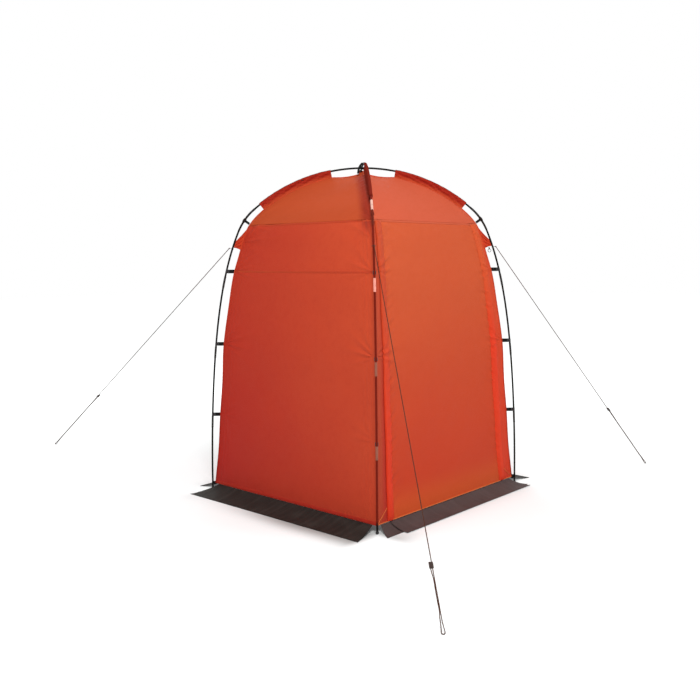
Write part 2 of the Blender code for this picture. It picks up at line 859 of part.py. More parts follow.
def guy_route(corner):
    """The route's own points: down to the peg, round it and back up to the runner."""
    start, last, way, sideways = guy_frame(corner)
    peg = last + sideways * guy_half_gap
    back = runner_distances[corner] + runner_length / 2 - guy_end_margin
    straight_end = last - way * (guy_loop_lead + guy_straight_end)
    route = [start + (straight_end - start) * share for share in guy_out_shares]
    spread = (guy_loop_radius - guy_half_gap) * (1 - guy_loop_near / guy_loop_lead)
    near = sideways * (guy_half_gap + spread)
    route += [last - way * guy_loop_lead, peg - near - way * guy_loop_near]
    for share in guy_turn_shares:
        turn = math.pi * share
        route.append(
            peg + guy_loop_radius * (way * math.sin(turn) - sideways * math.cos(turn))
        )
    route.append(peg + near - way * guy_loop_near)
    there = peg + sideways * guy_half_gap
    route.append(there - way * guy_loop_lead)
    there = there - way * (guy_loop_lead + guy_straight_end)
    back -= guy_loop_lead + guy_straight_end
    route += [there - way * back * share for share in guy_back_shares]
    return np.array(route)


def smooth(route, count):
    """Points along a smooth curve through a route: each span a cubic with shared slopes."""
    spans = np.linalg.norm(np.diff(route, axis=0), axis=1)
    knots = np.concatenate([[0], np.cumsum(spans)])
    slopes = np.gradient(route, knots, axis=0)
    weights = spans**long_span_power
    per_span = np.maximum(1, np.round(count * weights / weights.sum())).astype(int)
    points = [route[0]]
    for here in range(len(route) - 1):
        for share in np.linspace(0, 1, per_span[here] + 1)[1:]:
            span = spans[here]
            start = (1 + 2 * share) * (1 - share) ** 2
            end = share**2 * (3 - 2 * share)
            lead = share * (1 - share) ** 2 * span
            trail = share**2 * (share - 1) * span
            points.append(
                start * route[here] + end * route[here + 1]
                + lead * slopes[here] + trail * slopes[here + 1]
            )
    return points


def build_guy(corner):
    """A guy line and its runner, a block that both strands pass through."""
    cord(f"guy_line_{corner}", smooth(guy_route(corner), guy_points), guy_diameter, "guy_cord", 2)
    _, last, way, sideways = guy_frame(corner)
    middle = last + sideways * guy_half_gap - way * runner_distances[corner]
    depth_way = np.cross(way, sideways)
    runner = block(
        f"guy_runner_{corner}", middle, [way, sideways, depth_way],
        (runner_length, runner_width, runner_depth), "black_plastic", runner_edge,
    )
    radius = guy_diameter / 2 + runner_clearance
    reach = runner_length / 2 + cut_overrun
    for label, side in (("long", -1), ("short", 1)):
        strand = middle + sideways * guy_half_gap * side
        rings = [
            [
                strand + way * end
                + radius * (math.cos(angle) * sideways + math.sin(angle) * depth_way)
                for angle in np.arange(tube_sides) * 2 * math.pi / tube_sides
            ]
            for end in (-reach, reach)
        ]
        cut(runner, loft(f"runner_bore_{label}_{corner}", rings, "black_plastic"))


def build_sleeve(corner):
    """The fabric sleeve on one half of a roof pole: a fold over the pole, sewn to the roof seam."""
    top = apex_height + (crossing_rise if corner in ("front_left", "back_right") else 0)
    radius, centre = roof_circle(top)
    rows, places = canopy_rows()
    seam = rows[places["sleeve_end"] : places["sleeve_top"] + 1] * np.array([root_two, 1])
    across = plane_normal(corner)
    inner_radius = ferrule_radius + sleeve_clearance
    outer_radius = inner_radius + fabric_thickness
    turns = np.linspace(0, math.pi, sleeve_round)
    rings = []
    for sewn in seam:
        spoke = sewn - np.array([0, centre])
        away = unit(spoke)
        pole = np.array([0, centre]) + away * radius
        drop = radius - np.linalg.norm(spoke) - sleeve_lift
        outer = [(math.sin(turn) * outer_radius, math.cos(turn) * outer_radius) for turn in turns]
        inner = [(math.sin(turn) * inner_radius, math.cos(turn) * inner_radius) for turn in turns]
        half_gap = sleeve_layer_gap / 2
        outline = [(-drop, half_gap + fabric_thickness)]
        outline += outer
        outline += [(-drop, -half_gap - fabric_thickness), (-drop, -half_gap)]
        outline += inner[::-1]
        outline += [(-drop, half_gap)]
        ring = []
        for lift, side in outline:
            reach, height = pole + away * lift
            ring.append(in_plane(corner, reach, height) + across * side)
        rings.append(ring)
    loft(f"pole_sleeve_{corner}", rings, "sleeve_fabric")


def build_tie():
    """The webbing loop that holds the two roof poles together where they cross."""
    low = apex_height - ferrule_radius - tie_clearance
    high = apex_height + crossing_rise + ferrule_radius + tie_clearance
    half_height = (high - low) / 2
    middle = (high + low) / 2
    straight = tie_width / 2
    outline = []
    for side, first in ((1, math.pi / 2), (-1, -math.pi / 2)):
        for turn in np.linspace(first, first - math.pi, tie_round):
            outline.append((side * straight, math.cos(turn), math.sin(turn)))
    rings = []
    for radius, width in (
        (half_height, tie_width / 2),
        (half_height + tie_thickness, tie_width / 2),
        (half_height + tie_thickness, -tie_width / 2),
        (half_height, -tie_width / 2),
    ):
        rings.append([
            (shift + radius * across, width, middle + radius * up) for shift, across, up in outline
        ])
    loft("crossing_tie", rings, "black_webbing", hollow=True)


def build():
    for item in list(bpy.data.objects):
        bpy.data.objects.remove(item, do_unlink=True)
    build_arch("under", "front_right", "back_left", apex_height)
    build_arch("over", "front_left", "back_right", apex_height + crossing_rise)
    build_walls()
    build_door()
    build_sliders()
    build_skirts()
    for corner in corners:
        build_foot(corner)
        build_tape(corner)
        build_sleeve(corner)
        build_ring(corner)
        build_guy(corner)
    build_tie()


build()
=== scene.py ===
# %% [markdown]
# # A square utility tent in orange cloth
# Two pole arches cross over a hut of thin woven polyester, which hangs from them by straps. This
# file dresses the bare construction model: each pole, strap and sheet of cloth gets its shape and
# finish. The construction model stays where it is, and each new piece rides on one of its parts.

# %% Load the construction model
import json
import math

import bpy
import numpy as np
from mathutils import Matrix, Vector

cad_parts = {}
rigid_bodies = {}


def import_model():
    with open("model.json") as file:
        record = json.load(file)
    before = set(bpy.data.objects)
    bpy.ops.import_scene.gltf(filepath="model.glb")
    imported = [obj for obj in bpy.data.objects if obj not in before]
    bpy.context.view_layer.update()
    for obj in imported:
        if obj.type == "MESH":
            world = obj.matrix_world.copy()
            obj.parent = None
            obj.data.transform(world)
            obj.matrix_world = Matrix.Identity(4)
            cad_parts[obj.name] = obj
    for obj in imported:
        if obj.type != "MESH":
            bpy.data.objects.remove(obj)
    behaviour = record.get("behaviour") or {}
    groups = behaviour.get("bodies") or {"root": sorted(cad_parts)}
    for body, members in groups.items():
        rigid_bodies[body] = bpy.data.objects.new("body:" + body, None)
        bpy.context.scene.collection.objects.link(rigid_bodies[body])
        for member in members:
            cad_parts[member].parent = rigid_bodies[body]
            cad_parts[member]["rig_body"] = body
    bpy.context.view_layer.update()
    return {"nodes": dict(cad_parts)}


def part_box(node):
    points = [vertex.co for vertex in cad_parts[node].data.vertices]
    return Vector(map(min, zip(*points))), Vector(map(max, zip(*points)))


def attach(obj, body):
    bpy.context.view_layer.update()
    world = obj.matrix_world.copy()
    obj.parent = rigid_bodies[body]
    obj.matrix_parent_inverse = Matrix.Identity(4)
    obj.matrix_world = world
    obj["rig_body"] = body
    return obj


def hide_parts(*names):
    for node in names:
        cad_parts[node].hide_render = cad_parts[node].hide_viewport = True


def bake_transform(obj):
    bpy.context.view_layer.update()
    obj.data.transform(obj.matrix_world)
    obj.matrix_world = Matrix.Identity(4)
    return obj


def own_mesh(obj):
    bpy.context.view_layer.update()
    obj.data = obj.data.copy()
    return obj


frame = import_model()

# %% [markdown]
# ## The camera
# The photograph was taken from about eye height, a little over five metres away, with the tent's
# front corner turned to the lens. The aim is written as turns of the head: yaw from +Y towards +X,
# pitch above the horizon, and roll. A focal length in pixels becomes a lens over a 36 mm sensor.

# %% Camera
photo_pixels, focal_pixels, axis_drop_pixels, sensor_mm = 700, 849.93, 11.52, 36
eye_point = Vector((-4.38, -3.839, 1.586))
yaw, pitch, roll = (math.radians(angle) for angle in (47.8, -6.921, -0.454))


def camera_matrix():
    """The camera's right, up and backward directions as columns, from its yaw, pitch and roll."""
    level = math.cos(pitch)
    ahead = Vector((math.sin(yaw) * level, math.cos(yaw) * level, math.sin(pitch)))
    right = Vector((math.cos(yaw), -math.sin(yaw), 0))
    up = right.cross(ahead)
    leaned_right = right * math.cos(roll) + up * math.sin(roll)
    leaned_up = up * math.cos(roll) - right * math.sin(roll)
    matrix = Matrix((leaned_right, leaned_up, -ahead)).transposed().to_4x4()
    matrix.translation = eye_point
    return matrix


camera_data = bpy.data.cameras.new("camera")
camera_data.sensor_width = sensor_mm
camera_data.lens = focal_pixels / photo_pixels * sensor_mm
camera_data.shift_y = axis_drop_pixels / photo_pixels
camera_data.clip_end = 60
camera = bpy.data.objects.new("camera", camera_data)
camera.matrix_world = camera_matrix()
bpy.context.scene.collection.objects.link(camera)
bpy.context.scene.camera = camera
print("lens", round(camera_data.lens, 2), "mm")

# %% [markdown]
# ## Meshes from grids
# Every new piece is one or more grids of points, with rows along it and columns across it, worked
# out at once as a numpy array. The four points round each cell make a face, and `foreach_set` hands
# the arrays to the mesh in one go. A tube wraps its columns round and closes its ends with caps.

# %% Grid to mesh


def patch(grid, uv=None, wrap=False, caps=False, inside=None):
    """Points, face corners, face sizes and corner coordinates of one grid.

    The faces look away from the point `inside`, or else from the middle of all points."""
    rows, columns = grid.shape[:2]
    across = columns if wrap else columns - 1
    row, column = np.meshgrid(np.arange(rows - 1), np.arange(across), indexing="ij")
    here, beside = row * columns + column, row * columns + (column + 1) % columns
    quads = np.stack([here, beside, beside + columns, here + columns], axis=-1).reshape(-1, 4)
    if uv is None:
        uv = np.stack(np.meshgrid(np.arange(across + 1) / across, np.arange(rows) / (rows - 1)), axis=-1)
    around = [uv[row, column], uv[row, column + 1], uv[row + 1, column + 1], uv[row + 1, column]]
    points = grid.reshape(-1, 3)
    a, b, c, d = (points[quads[:, index]] for index in range(4))
    outward = (a + b + c + d) / 4 - (points.mean(0) if inside is None else inside)
    turn = 1 if (np.cross(c - a, d - b) * outward).sum() > 0 else -1
    corners = [quads[:, ::turn].ravel()]
    sizes = [np.full(len(quads), 4)]
    uvs = [np.stack(around, axis=2).reshape(-1, 4, 2)[:, ::turn].reshape(-1, 2)]
    if caps:
        ring = np.arange(columns)
        for at, order in ((0, ring[::-turn]), (rows - 1, ring[::turn])):
            corners.append(order + at * columns)
            sizes.append([columns])
            uvs.append(uv[at, order])
    return points, np.concatenate(corners), np.concatenate(sizes), np.concatenate(uvs)


def make(name, patches, material, body="tent", thickness=0.0, replaces=(), smooth=50):
    """An object of one or more patches, which rides on a body of the construction model."""
    points, corners, sizes, uvs = zip(*(patches if isinstance(patches, list) else [patches]))
    offsets = np.cumsum([0] + [len(part) for part in points[:-1]])
    corners = np.concatenate([part + offset for part, offset in zip(corners, offsets)])
    points, sizes, uvs = (np.concatenate(parts) for parts in (points, sizes, uvs))
    mesh = bpy.data.meshes.new(name)
    mesh.vertices.add(len(points))
    mesh.vertices.foreach_set("co", points.astype(np.float32).ravel())
    mesh.loops.add(len(corners))
    mesh.loops.foreach_set("vertex_index", corners.astype(np.int32))
    mesh.polygons.add(len(sizes))
    mesh.polygons.foreach_set("loop_start", (np.cumsum(sizes) - sizes).astype(np.int32))
    mesh.uv_layers.new(name="cloth_metres").data.foreach_set("uv", uvs.astype(np.float32).ravel())
    mesh.update(calc_edges=True)
    mesh.validate()
    mesh.shade_smooth()
    mesh.set_sharp_from_angle(angle=math.radians(smooth))
    mesh.materials.append(material)
    item = bpy.data.objects.new(name, mesh)
    bpy.context.scene.collection.objects.link(item)
    if thickness:
        solid = item.modifiers.new("cloth thickness", "SOLIDIFY")
        solid.thickness, solid.offset = thickness, -1
    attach(item, body)
    if replaces:
        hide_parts(*replaces)
    return item


def repaint(node, material):
    """Gives a solid that stays visible a finish, through its material slot."""
    solid = frame["nodes"][node]
    solid.data.materials.clear()
    solid.data.materials.append(material)
    return solid


# %% [markdown]
# Cords, rods, rings and tapes are outlines carried along a line. Where the line lies in one plane,
# the plane's normal and the way across the line are the outline's two directions.

# %% Outlines carried along a line


def unit(vectors):
    return np.asarray(vectors, float) / np.linalg.norm(vectors, axis=-1, keepdims=True)


def lengths_of(line):
    return np.concatenate([[0], np.cumsum(np.linalg.norm(np.diff(line, axis=0), axis=1))])


def lengthwise(line, across):
    """A piece's own coordinates: given distances across it, and metres along its line."""
    return np.stack(np.meshgrid(across, lengths_of(line)), axis=-1)


def circle(radii, sides):
    """A circle for each radius, as points (radius cos t, radius sin t)."""
    turn = np.arange(sides) * 2 * math.pi / sides
    return np.asarray(radii, float)[..., None, None] * np.stack([np.cos(turn), np.sin(turn)], axis=-1)


def loft(line, one, other, outline):
    """Each point (a, b) of the outline lands at line + a * one + b * other."""
    outline = np.broadcast_to(outline, (len(line), *np.shape(outline)[-2:]))
    one, other = (np.broadcast_to(way, line.shape)[:, None] for way in (one, other))
    return line[:, None] + outline[..., :1] * one + outline[..., 1:] * other


def rod(line, one, other, outline, turns=1.0):
    """A closed loft. Its own coordinates are turns round it and metres along it."""
    around = np.linspace(0, turns, np.shape(outline)[-2] + 1)
    return patch(loft(line, one, other, outline), lengthwise(line, around), wrap=True, caps=True)


def tube(line, normal, radii, sides=12):
    """A round rod along a line that lies in the plane with this normal."""
    return rod(line, normal, np.cross(unit(np.gradient(line, axis=0)), normal), circle(radii, sides))


def rounded(count, power):
    """An outline between a circle (power 1) and a square (power 0), as two lists of distances."""
    turn = np.arange(count) * 2 * math.pi / count
    return [np.sign(wave) * np.abs(wave) ** power for wave in (np.sin(turn), np.cos(turn))]


def smooth_line(route, count, power=1.0):
    """Points along a smooth curve: each span is a cubic whose end slopes its neighbours share."""
    route = np.asarray(route, float)
    spans = np.linalg.norm(np.diff(route, axis=0), axis=1)
    slopes = np.gradient(route, np.concatenate([[0], np.cumsum(spans)]), axis=0)
    steps = np.maximum(1, np.round(count * spans**power / (spans**power).sum())).astype(int)
    span = np.concatenate([[0], np.repeat(np.arange(len(spans)), steps)])
    share = np.concatenate([[0.0], *[np.arange(1, n + 1) / n for n in steps]])[:, None]
    width = spans[span][:, None]
    return (
        (1 + 2 * share) * (1 - share) ** 2 * route[span] + share**2 * (3 - 2 * share) * route[span + 1]
        + share * (1 - share) ** 2 * width * slopes[span]
        + share**2 * (share - 1) * width * slopes[span + 1]
    )


# %% [markdown]
# ## The tent's own lines
# Everything hangs on two sorts of line. The poles run in upright planes through opposite corners:
# each leg leans in slowly, hooks at its elbow, and the roof pole is an arc of a circle. The cloth's
# corner seams run inside them at an even distance. The sizes are the construction model's own.

# %% Pole lines
corners = {
    "front_left": (-1, -1), "front_right": (1, -1), "back_left": (-1, 1), "back_right": (1, 1),
}
sides_of_door = (("left", -1), ("right", 1))
over_corners = ("front_left", "back_right")
root_two = math.sqrt(2)
foot_reach, elbow_reach, elbow_height = 0.750 * root_two, 0.570 * root_two, 1.850
apex_height, crossing_rise = 2.187, 0.026
leg_bow_share, leg_bow_power, leg_hook_power = 0.605, 2, 6
pole_radius, ferrule_radius, elbow_arm = 0.0055, 0.00675, 0.075
tip_collar_height = 0.014


def in_plane(corner, reach, height, side=0.0):
    """Points given by their reach from the middle line, height, and distance beside the plane."""
    across, along = corners[corner]
    reach, height, side = np.broadcast_arrays(reach, height, side)
    return np.stack([
        (across * reach - along * side) / root_two, (along * reach + across * side) / root_two, height,
    ], axis=-1)


def plane_normal(corner):
    return in_plane(corner, 0.0, 0.0, 1.0)


def leg_reach(height):
    """A leg's reach: it falls with the square of the height, and near the elbow with its sixth power."""
    share = height / elbow_height
    bow = leg_bow_share * share**leg_bow_power + (1 - leg_bow_share) * share**leg_hook_power
    return foot_reach - (foot_reach - elbow_reach) * bow


def leg_slope(height):
    """How fast the reach falls with the height."""
    share = height / elbow_height
    bow = leg_bow_power * leg_bow_share * share ** (leg_bow_power - 1)
    hook = leg_hook_power * (1 - leg_bow_share) * share ** (leg_hook_power - 1)
    return (foot_reach - elbow_reach) * (bow + hook) / elbow_height


def roof_circle(top):
    """Radius and centre height of the arc that passes both elbows and a given top."""
    rise = top - elbow_height
    radius = (elbow_reach**2 + rise**2) / (2 * rise)
    return radius, top - radius


def roof_top(corner):
    return apex_height + (crossing_rise if corner in over_corners else 0)


print("leg reach at foot and elbow", round(foot_reach, 3), round(float(leg_reach(elbow_height)), 3))

# %% [markdown]
# ## Shader maths
# A material's detail is arithmetic on numbers that change over the surface. The small class below
# wraps such a number, so that `1 - mask` or `wave * 0.3` adds the Math nodes by itself. One method,
# `node`, makes every other node: its type, its settings, and its inputs.

# %% Shader helper


class Number:
    """One number that varies over a surface, with operators that add Math nodes."""

    def __init__(self, nodes, socket):
        self.nodes, self.socket = nodes, socket

    def math(self, operation, *others):
        inputs = dict(enumerate((self, *others)))
        made = self.nodes.node("ShaderNodeMath", {"operation": operation}, inputs)
        return Number(self.nodes, made.outputs[0])

    def __add__(self, other):
        return self.math("ADD", other)

    def __sub__(self, other):
        return self.math("SUBTRACT", other)

    def __rsub__(self, other):
        return self * -1 + other

    def __mul__(self, other):
        return self.math("MULTIPLY", other)

    def __truediv__(self, other):
        return self.math("DIVIDE", other)

    def __pow__(self, other):
        return self.math("POWER", other)

    def __abs__(self):
        return self.math("ABSOLUTE")

    __radd__ = __add__
    __rmul__ = __mul__

    def wave(self, length):
        """A sine of the number, with a given wavelength."""
        return (self * (2 * math.pi / length)).math("SINE")

    def clamped(self):
        return self.math("MAXIMUM", 0.0).math("MINIMUM", 1.0)

    def smooth(self, low, high):
        """0 at low, 1 at high, and a soft step between. It falls where low is the greater."""
        found = self.nodes.node("ShaderNodeMapRange", {"interpolation_type": "SMOOTHSTEP"}, {
            "Value": self, "From Min": low, "From Max": high,
        })
        return Number(self.nodes, found.outputs[0])


class Nodes:
    """A node tree, and the one method that makes its nodes."""

    def __init__(self, tree):
        self.tree = tree

    def node(self, kind, settings=None, inputs=None):
        made = self.tree.nodes.new(kind)
        for setting, value in (settings or {}).items():
            setattr(made, setting, value)
        for key, value in (inputs or {}).items():
            self.feed(made.inputs[key], value)
        return made

    def feed(self, socket, value):
        value = value.socket if isinstance(value, Number) else value
        if isinstance(value, bpy.types.NodeSocket):
            self.tree.links.new(value, socket)
        else:
            socket.default_value = value


class Finish(Nodes):
    """A Principled material, with the sorts of pattern that the finishes below are made of."""

    def __init__(self, name, colour, roughness, metallic=0.0, gloss=0.5):
        self.material = bpy.data.materials.new(name)
        self.material.use_nodes = True
        super().__init__(self.material.node_tree)
        self.shader = self.tree.nodes["Principled BSDF"]
        self.shader.inputs["Base Color"].default_value = (*colour, 1)
        self.shader.inputs["Roughness"].default_value = roughness
        self.shader.inputs["Metallic"].default_value = metallic
        self.shader.inputs["Specular IOR Level"].default_value = gloss

    def place(self):
        """The three Object coordinates of the surface, in metres."""
        found = self.node("ShaderNodeTexCoord").outputs["Object"]
        split = self.node("ShaderNodeSeparateXYZ", inputs={0: found})
        return [Number(self, output) for output in split.outputs]

    def cloth_place(self):
        """The piece's own two coordinates, in metres across and along it, and both as a vector."""
        found = self.node("ShaderNodeUVMap", {"uv_map": "cloth_metres"}).outputs[0]
        split = self.node("ShaderNodeSeparateXYZ", inputs={0: found})
        return Number(self, split.outputs[0]), Number(self, split.outputs[1]), found

    def noise(self, scale, detail=3.0, rough=0.5, vector=None, stretch=None):
        """Noise from 0 to 1 whose features are about 1 / scale metres wide."""
        vector = vector or self.node("ShaderNodeTexCoord").outputs["Object"]
        if stretch:
            vector = self.node("ShaderNodeMapping", inputs={"Vector": vector, "Scale": stretch}).outputs[0]
        found = self.node("ShaderNodeTexNoise", inputs={
            "Vector": vector, "Scale": scale, "Detail": detail, "Roughness": rough,
        })
        return Number(self, found.outputs[0])

    def mix(self, share, one, other):
        """One colour where share is 0, the other where it is 1."""
        made = self.node("ShaderNodeMix", {"data_type": "RGBA"})
        self.feed(made.inputs[0], share)
        for index, colour in ((6, one), (7, other)):
            self.feed(made.inputs[index], (*colour, 1) if isinstance(colour, tuple) else colour)
        return made.outputs[2]

    def done(self, colour, roughness, height, depth):
        """Feeds the shader. Relief is `depth` metres deep where height goes from 0 to 1."""
        relief = self.node("ShaderNodeBump", inputs={"Height": height, "Distance": depth, "Strength": 1.0})
        self.feed(self.shader.inputs["Base Color"], colour)
        self.feed(self.shader.inputs["Roughness"], roughness)
        self.feed(self.shader.inputs["Normal"], relief.outputs[0])
        return self.material


def toned(colour, factor, more=0.0):
    return tuple(channel * factor + more for channel in colour)


# %% [markdown]
# ## Cloth finishes
# The hut is plain-woven polyester with a thin coating inside. From a few metres it is a smooth
# field of orange, painted redder and deeper towards the ground, where less daylight comes through
# it: painted shade. Close up it has fine crossing threads, a faint reinforcing grid and small slubs.
# The painted shade follows height on the object, and the threads follow the cloth's own metres.

# %% Cloth finishes
thread_pitch, grid_pitch, crease_depth = 0.0007, 0.006, 0.0035


def cloth(name, low, high, ground=0.10, top=1.75, forward_shade=0.0, roughness=0.52, painted_shade_rim=None, ends=None,
          foot=None, rib_shade=None, inner=None, ridge_shade=None, gloss=0.10):
    """Woven cloth whose colour runs from low, near the ground and the back, to high: painted shade.

    `forward_shade` is the part of that painted shade which goes from back to front instead of upwards. Where
    `painted_shade_rim` is given, the painted shade runs instead from the middle of the piece, darker, to its
    edges, between two
    distances. `ends` is the colour of the panels over the door and over the back wall, painted pinker:
    painted sheen. `foot` is that of a band above the hem, `rib_shade` that of a painted band of deeper red
    shade on the left of the front rib, `inner` that of painted shade on a narrow piece away from its
    corner, and `ridge_shade` that of a painted dark line of shade along the piece's middle."""
    finish = Finish(name, high, roughness, gloss=gloss)
    beside, depth, height = finish.place()
    across, along, metres = finish.cloth_place()
    broad, fine = finish.noise(1.6, 2.0), finish.noise(26.0, 4.0, 0.6)
    # The run from low to high is painted shade: darker low down and, on the walls, towards the back.
    lift = height.smooth(ground, top) * (1 - forward_shade) + (0.75 - depth) * (forward_shade / 1.5)
    # On the sleeves the painted shade runs instead from their darker middle, over the pole, to their edges.
    if painted_shade_rim:
        lift = abs(across).smooth(*painted_shade_rim)
    tone = finish.mix((lift + (broad - 0.5) * 0.30).clamped(), low, high)
    # The panels over the door and over the back wall are painted pinker: painted sheen.
    if ends:
        tone = finish.mix((abs(depth) - abs(beside)).smooth(-0.012, 0.012), tone, ends)
    if foot:
        tone = finish.mix(height.smooth(0.26, 0.07) * 0.9, tone, foot)
    # A painted band of deeper red shade on the left of the front rib, on the walls and the roof.
    if rib_shade:
        from_rib = (depth - beside) / root_two
        band = from_rib.smooth(0.085, 0.030) * from_rib.smooth(-0.002, 0.002) * height.smooth(1.68, 1.84)
        tone = finish.mix(band * (beside + depth).smooth(0.0, -0.1) * 0.8, tone, rib_shade)
    # Painted shade on a narrow piece away from its corner: on the left jamb, beside the flap.
    if inner:
        tone = finish.mix((abs(depth) - abs(beside)).smooth(0.035, 0.085) * 0.8, tone, inner)
    # A painted dark line of shade along the piece's middle.
    if ridge_shade:
        tone = finish.mix(abs(across).smooth(0.017, 0.009) * 0.85, tone, ridge_shade)
    darker = toned(low, 0.88)
    patchy = finish.mix(fine.smooth(0.42, 0.75) * 0.12, tone, darker)
    grid = sum(abs(way.wave(2 * grid_pitch)).smooth(0.93, 1.0) for way in (across, along))
    weave = across.wave(thread_pitch) * along.wave(thread_pitch)
    creases = finish.noise(5.0, 4.0, 0.55, metres)
    return finish.done(finish.mix((grid * 0.12).clamped(), patchy, darker),
                       roughness + (fine - 0.5) * 0.12 + weave * 0.03,
                       creases * 0.8 + fine * 0.10 + weave * 0.05 + grid * 0.03, crease_depth)


# The first colour is painted shade beside the front rib; the other two are the roof's and the piping's own
# colours.
rib_shade_red, roof_orange, piping_orange = (0.27, 0.020, 0.014), (0.52, 0.078, 0.026), (0.78, 0.20, 0.060)
# In each cloth below, the run from its first colour to its second is painted shade.
orange_cloth = cloth("orange_cloth", (0.46, 0.021, 0.014), (0.62, 0.078, 0.026), forward_shade=0.72,
                     rib_shade=rib_shade_red)
door_cloth = cloth("door_cloth", (0.55, 0.048, 0.015), (0.57, 0.088, 0.026), ground=0.2,
                   foot=(0.62, 0.085, 0.018))
# Its panels over the door and the back are painted pinker: painted sheen.
roof_cloth = cloth("roof_cloth", roof_orange, roof_orange, ground=1.8, top=2.15,
                   ends=(0.58, 0.102, 0.050), rib_shade=rib_shade_red, gloss=0.02)
# The flaps are painted brighter than the door, and the right one, a lit copy, brighter still: painted light.
flap_cloths = {
    "left": cloth("flap_cloth", (0.72, 0.044, 0.015), (0.52, 0.068, 0.023), ground=0.2),
    "right": cloth("lit_flap_cloth", (0.72, 0.046, 0.015), (0.60, 0.088, 0.026), ground=0.9, top=1.7),
}
# The left jamb is painted darker away from its corner: painted shade. The right one is a lit copy, painted
# lighter: painted light.
jamb_cloths = {
    "left": cloth("jamb_cloth", (0.44, 0.052, 0.022), (0.52, 0.070, 0.028), inner=(0.44, 0.026, 0.018)),
    "right": cloth("lit_jamb_cloth", (0.64, 0.044, 0.016), (0.62, 0.072, 0.024)),
}
# The sleeves are painted darker over the pole and along their top line: painted shade.
sleeve_cloth = cloth("sleeve_cloth", (0.38, 0.026, 0.014), (0.50, 0.066, 0.024), painted_shade_rim=(0.040, 0.066),
                     ridge_shade=(0.080, 0.022, 0.018), gloss=0.02)
# The front left sleeve takes this dark copy of the sleeve cloth: painted shade.
shaded_front_sleeve_cloth = cloth("shaded_front_sleeve_cloth", (0.15, 0.015, 0.010), (0.20, 0.020, 0.012), gloss=0.0)
gusset_cloth = cloth("gusset_cloth", (0.52, 0.042, 0.016), (0.58, 0.056, 0.020), ground=1.6, top=1.8)
seam_cloth = cloth("seam_cloth", (0.38, 0.022, 0.012), (0.60, 0.070, 0.026))
piping_cloth = cloth("piping_cloth", piping_orange, piping_orange, roughness=0.6)
print(len(bpy.data.materials), "cloth finishes")

# %% [markdown]
# The ground flaps are a heavier dark cloth with a duller coat. They pick up dust, so their colour is
# uneven, and long soft streaks run along them where the roll of cloth was folded. Seams and hems are
# doubled cloth with two rows of stitches.

# %% Skirt cloth and stitched strips


def skirt_finish(name, dark, dusty):
    finish = Finish(name, dark, 0.58, gloss=0.18)
    across, along, metres = finish.cloth_place()
    dust = finish.noise(7.0, 5.0, 0.6)
    streak = finish.noise(3.0, 4.0, 0.6, metres, (0.6, 9.0, 1.0))
    weave = across.wave(0.0011) * along.wave(0.0011)
    amount = (dust.smooth(0.4, 0.8) * 0.5 + streak.smooth(0.4, 0.8) * 0.5).clamped()
    return finish.done(finish.mix(amount, dark, dusty), 0.50 + dust * 0.22,
                       streak * 0.7 + dust * 0.25 + weave * 0.06, 0.004)


def stitch_finish(name, low, high, thread, pitch=0.0045, row_offset=0.0036):
    """Doubled cloth with two rows of stitches, painted darker low down: painted shade. Its own coordinates
    are metres across and along.
    """
    finish = Finish(name, low, 0.60, gloss=0.10)
    across, along, _ = finish.cloth_place()
    height = finish.place()[2]
    row = abs(abs(across) - row_offset).smooth(0.0009, 0.0004)
    dash = abs((along / pitch).math("FRACT") - 0.5).smooth(0.36, 0.30)
    stitch = row * dash
    worn = finish.noise(40.0, 3.0)
    # Darker low down: painted shade, as on the walls.
    tone = finish.mix((height.smooth(0.2, 1.8) + (worn - 0.5) * 0.4).clamped(), low, high)
    return finish.done(finish.mix(stitch, tone, thread), 0.50 + worn * 0.16,
                       stitch * 0.6 + worn * 0.3 - row * 0.5, 0.0004)


# One cloth in two copies: the first, painted darker, for the shade on the side and back skirts, and the
# second, painted lighter, for the sheen on the door's skirts: painted shade and painted sheen.
skirt_cloth = skirt_finish("skirt_cloth", (0.014, 0.0125, 0.0105), (0.052, 0.045, 0.039))
lit_skirt_cloth = skirt_finish("lit_skirt_cloth", (0.066, 0.046, 0.044), (0.108, 0.077, 0.074))
seam_strip = stitch_finish("seam_strip", (0.36, 0.019, 0.011), (0.50, 0.056, 0.020), (0.40, 0.036, 0.015))
hem_strip = stitch_finish("hem_strip", (0.46, 0.026, 0.014), (0.56, 0.060, 0.022), (0.48, 0.040, 0.016))
door_strip = stitch_finish("door_strip", (0.55, 0.096, 0.042), (0.55, 0.096, 0.042), (0.50, 0.080, 0.034))
print("skirt cloth and stitched strips made")

# %% [markdown]
# ## Webbing, poles and small hardware
# Straps are woven tape: ribs across, a selvedge along each edge, and worn threads. The poles are
# glass fibre, dark and dull, with faint streaks along the pull of the fibres. Ferrules are drawn
# metal with fine rings round them, and the elbows are steel with a dark powder coat. At the front
# corner the poles and the metal stand before red cloth, and a red tint from it is painted on them:
# painted reflection; the ferrules there are painted bright: painted highlight.

# %% Webbing, pole and hardware finishes


def webbing_finish(name, colour, rib=0.0016):
    finish = Finish(name, colour, 0.82, gloss=0.20)
    across, along, _ = finish.cloth_place()
    ribs, cross = abs(along.wave(2 * rib)), abs(across.wave(0.0022))
    worn = finish.noise(60.0, 3.0)
    fade = (worn.smooth(0.5, 0.9) * 0.5 + ribs * 0.15).clamped()
    return finish.done(finish.mix(fade, colour, toned(colour, 2.4, 0.004)),
                       0.74 + worn * 0.16, ribs * 0.7 + cross * 0.3, 0.0005)


def front_light_share(finish):
    """1 at the front corner, above the pole's foot, and 0 elsewhere: where painted reflection and painted
    highlights go on the poles and metal.
    """
    x, y, height = finish.place()
    return (x + y).smooth(-0.7, -1.0) * height.smooth(0.05, 0.08)


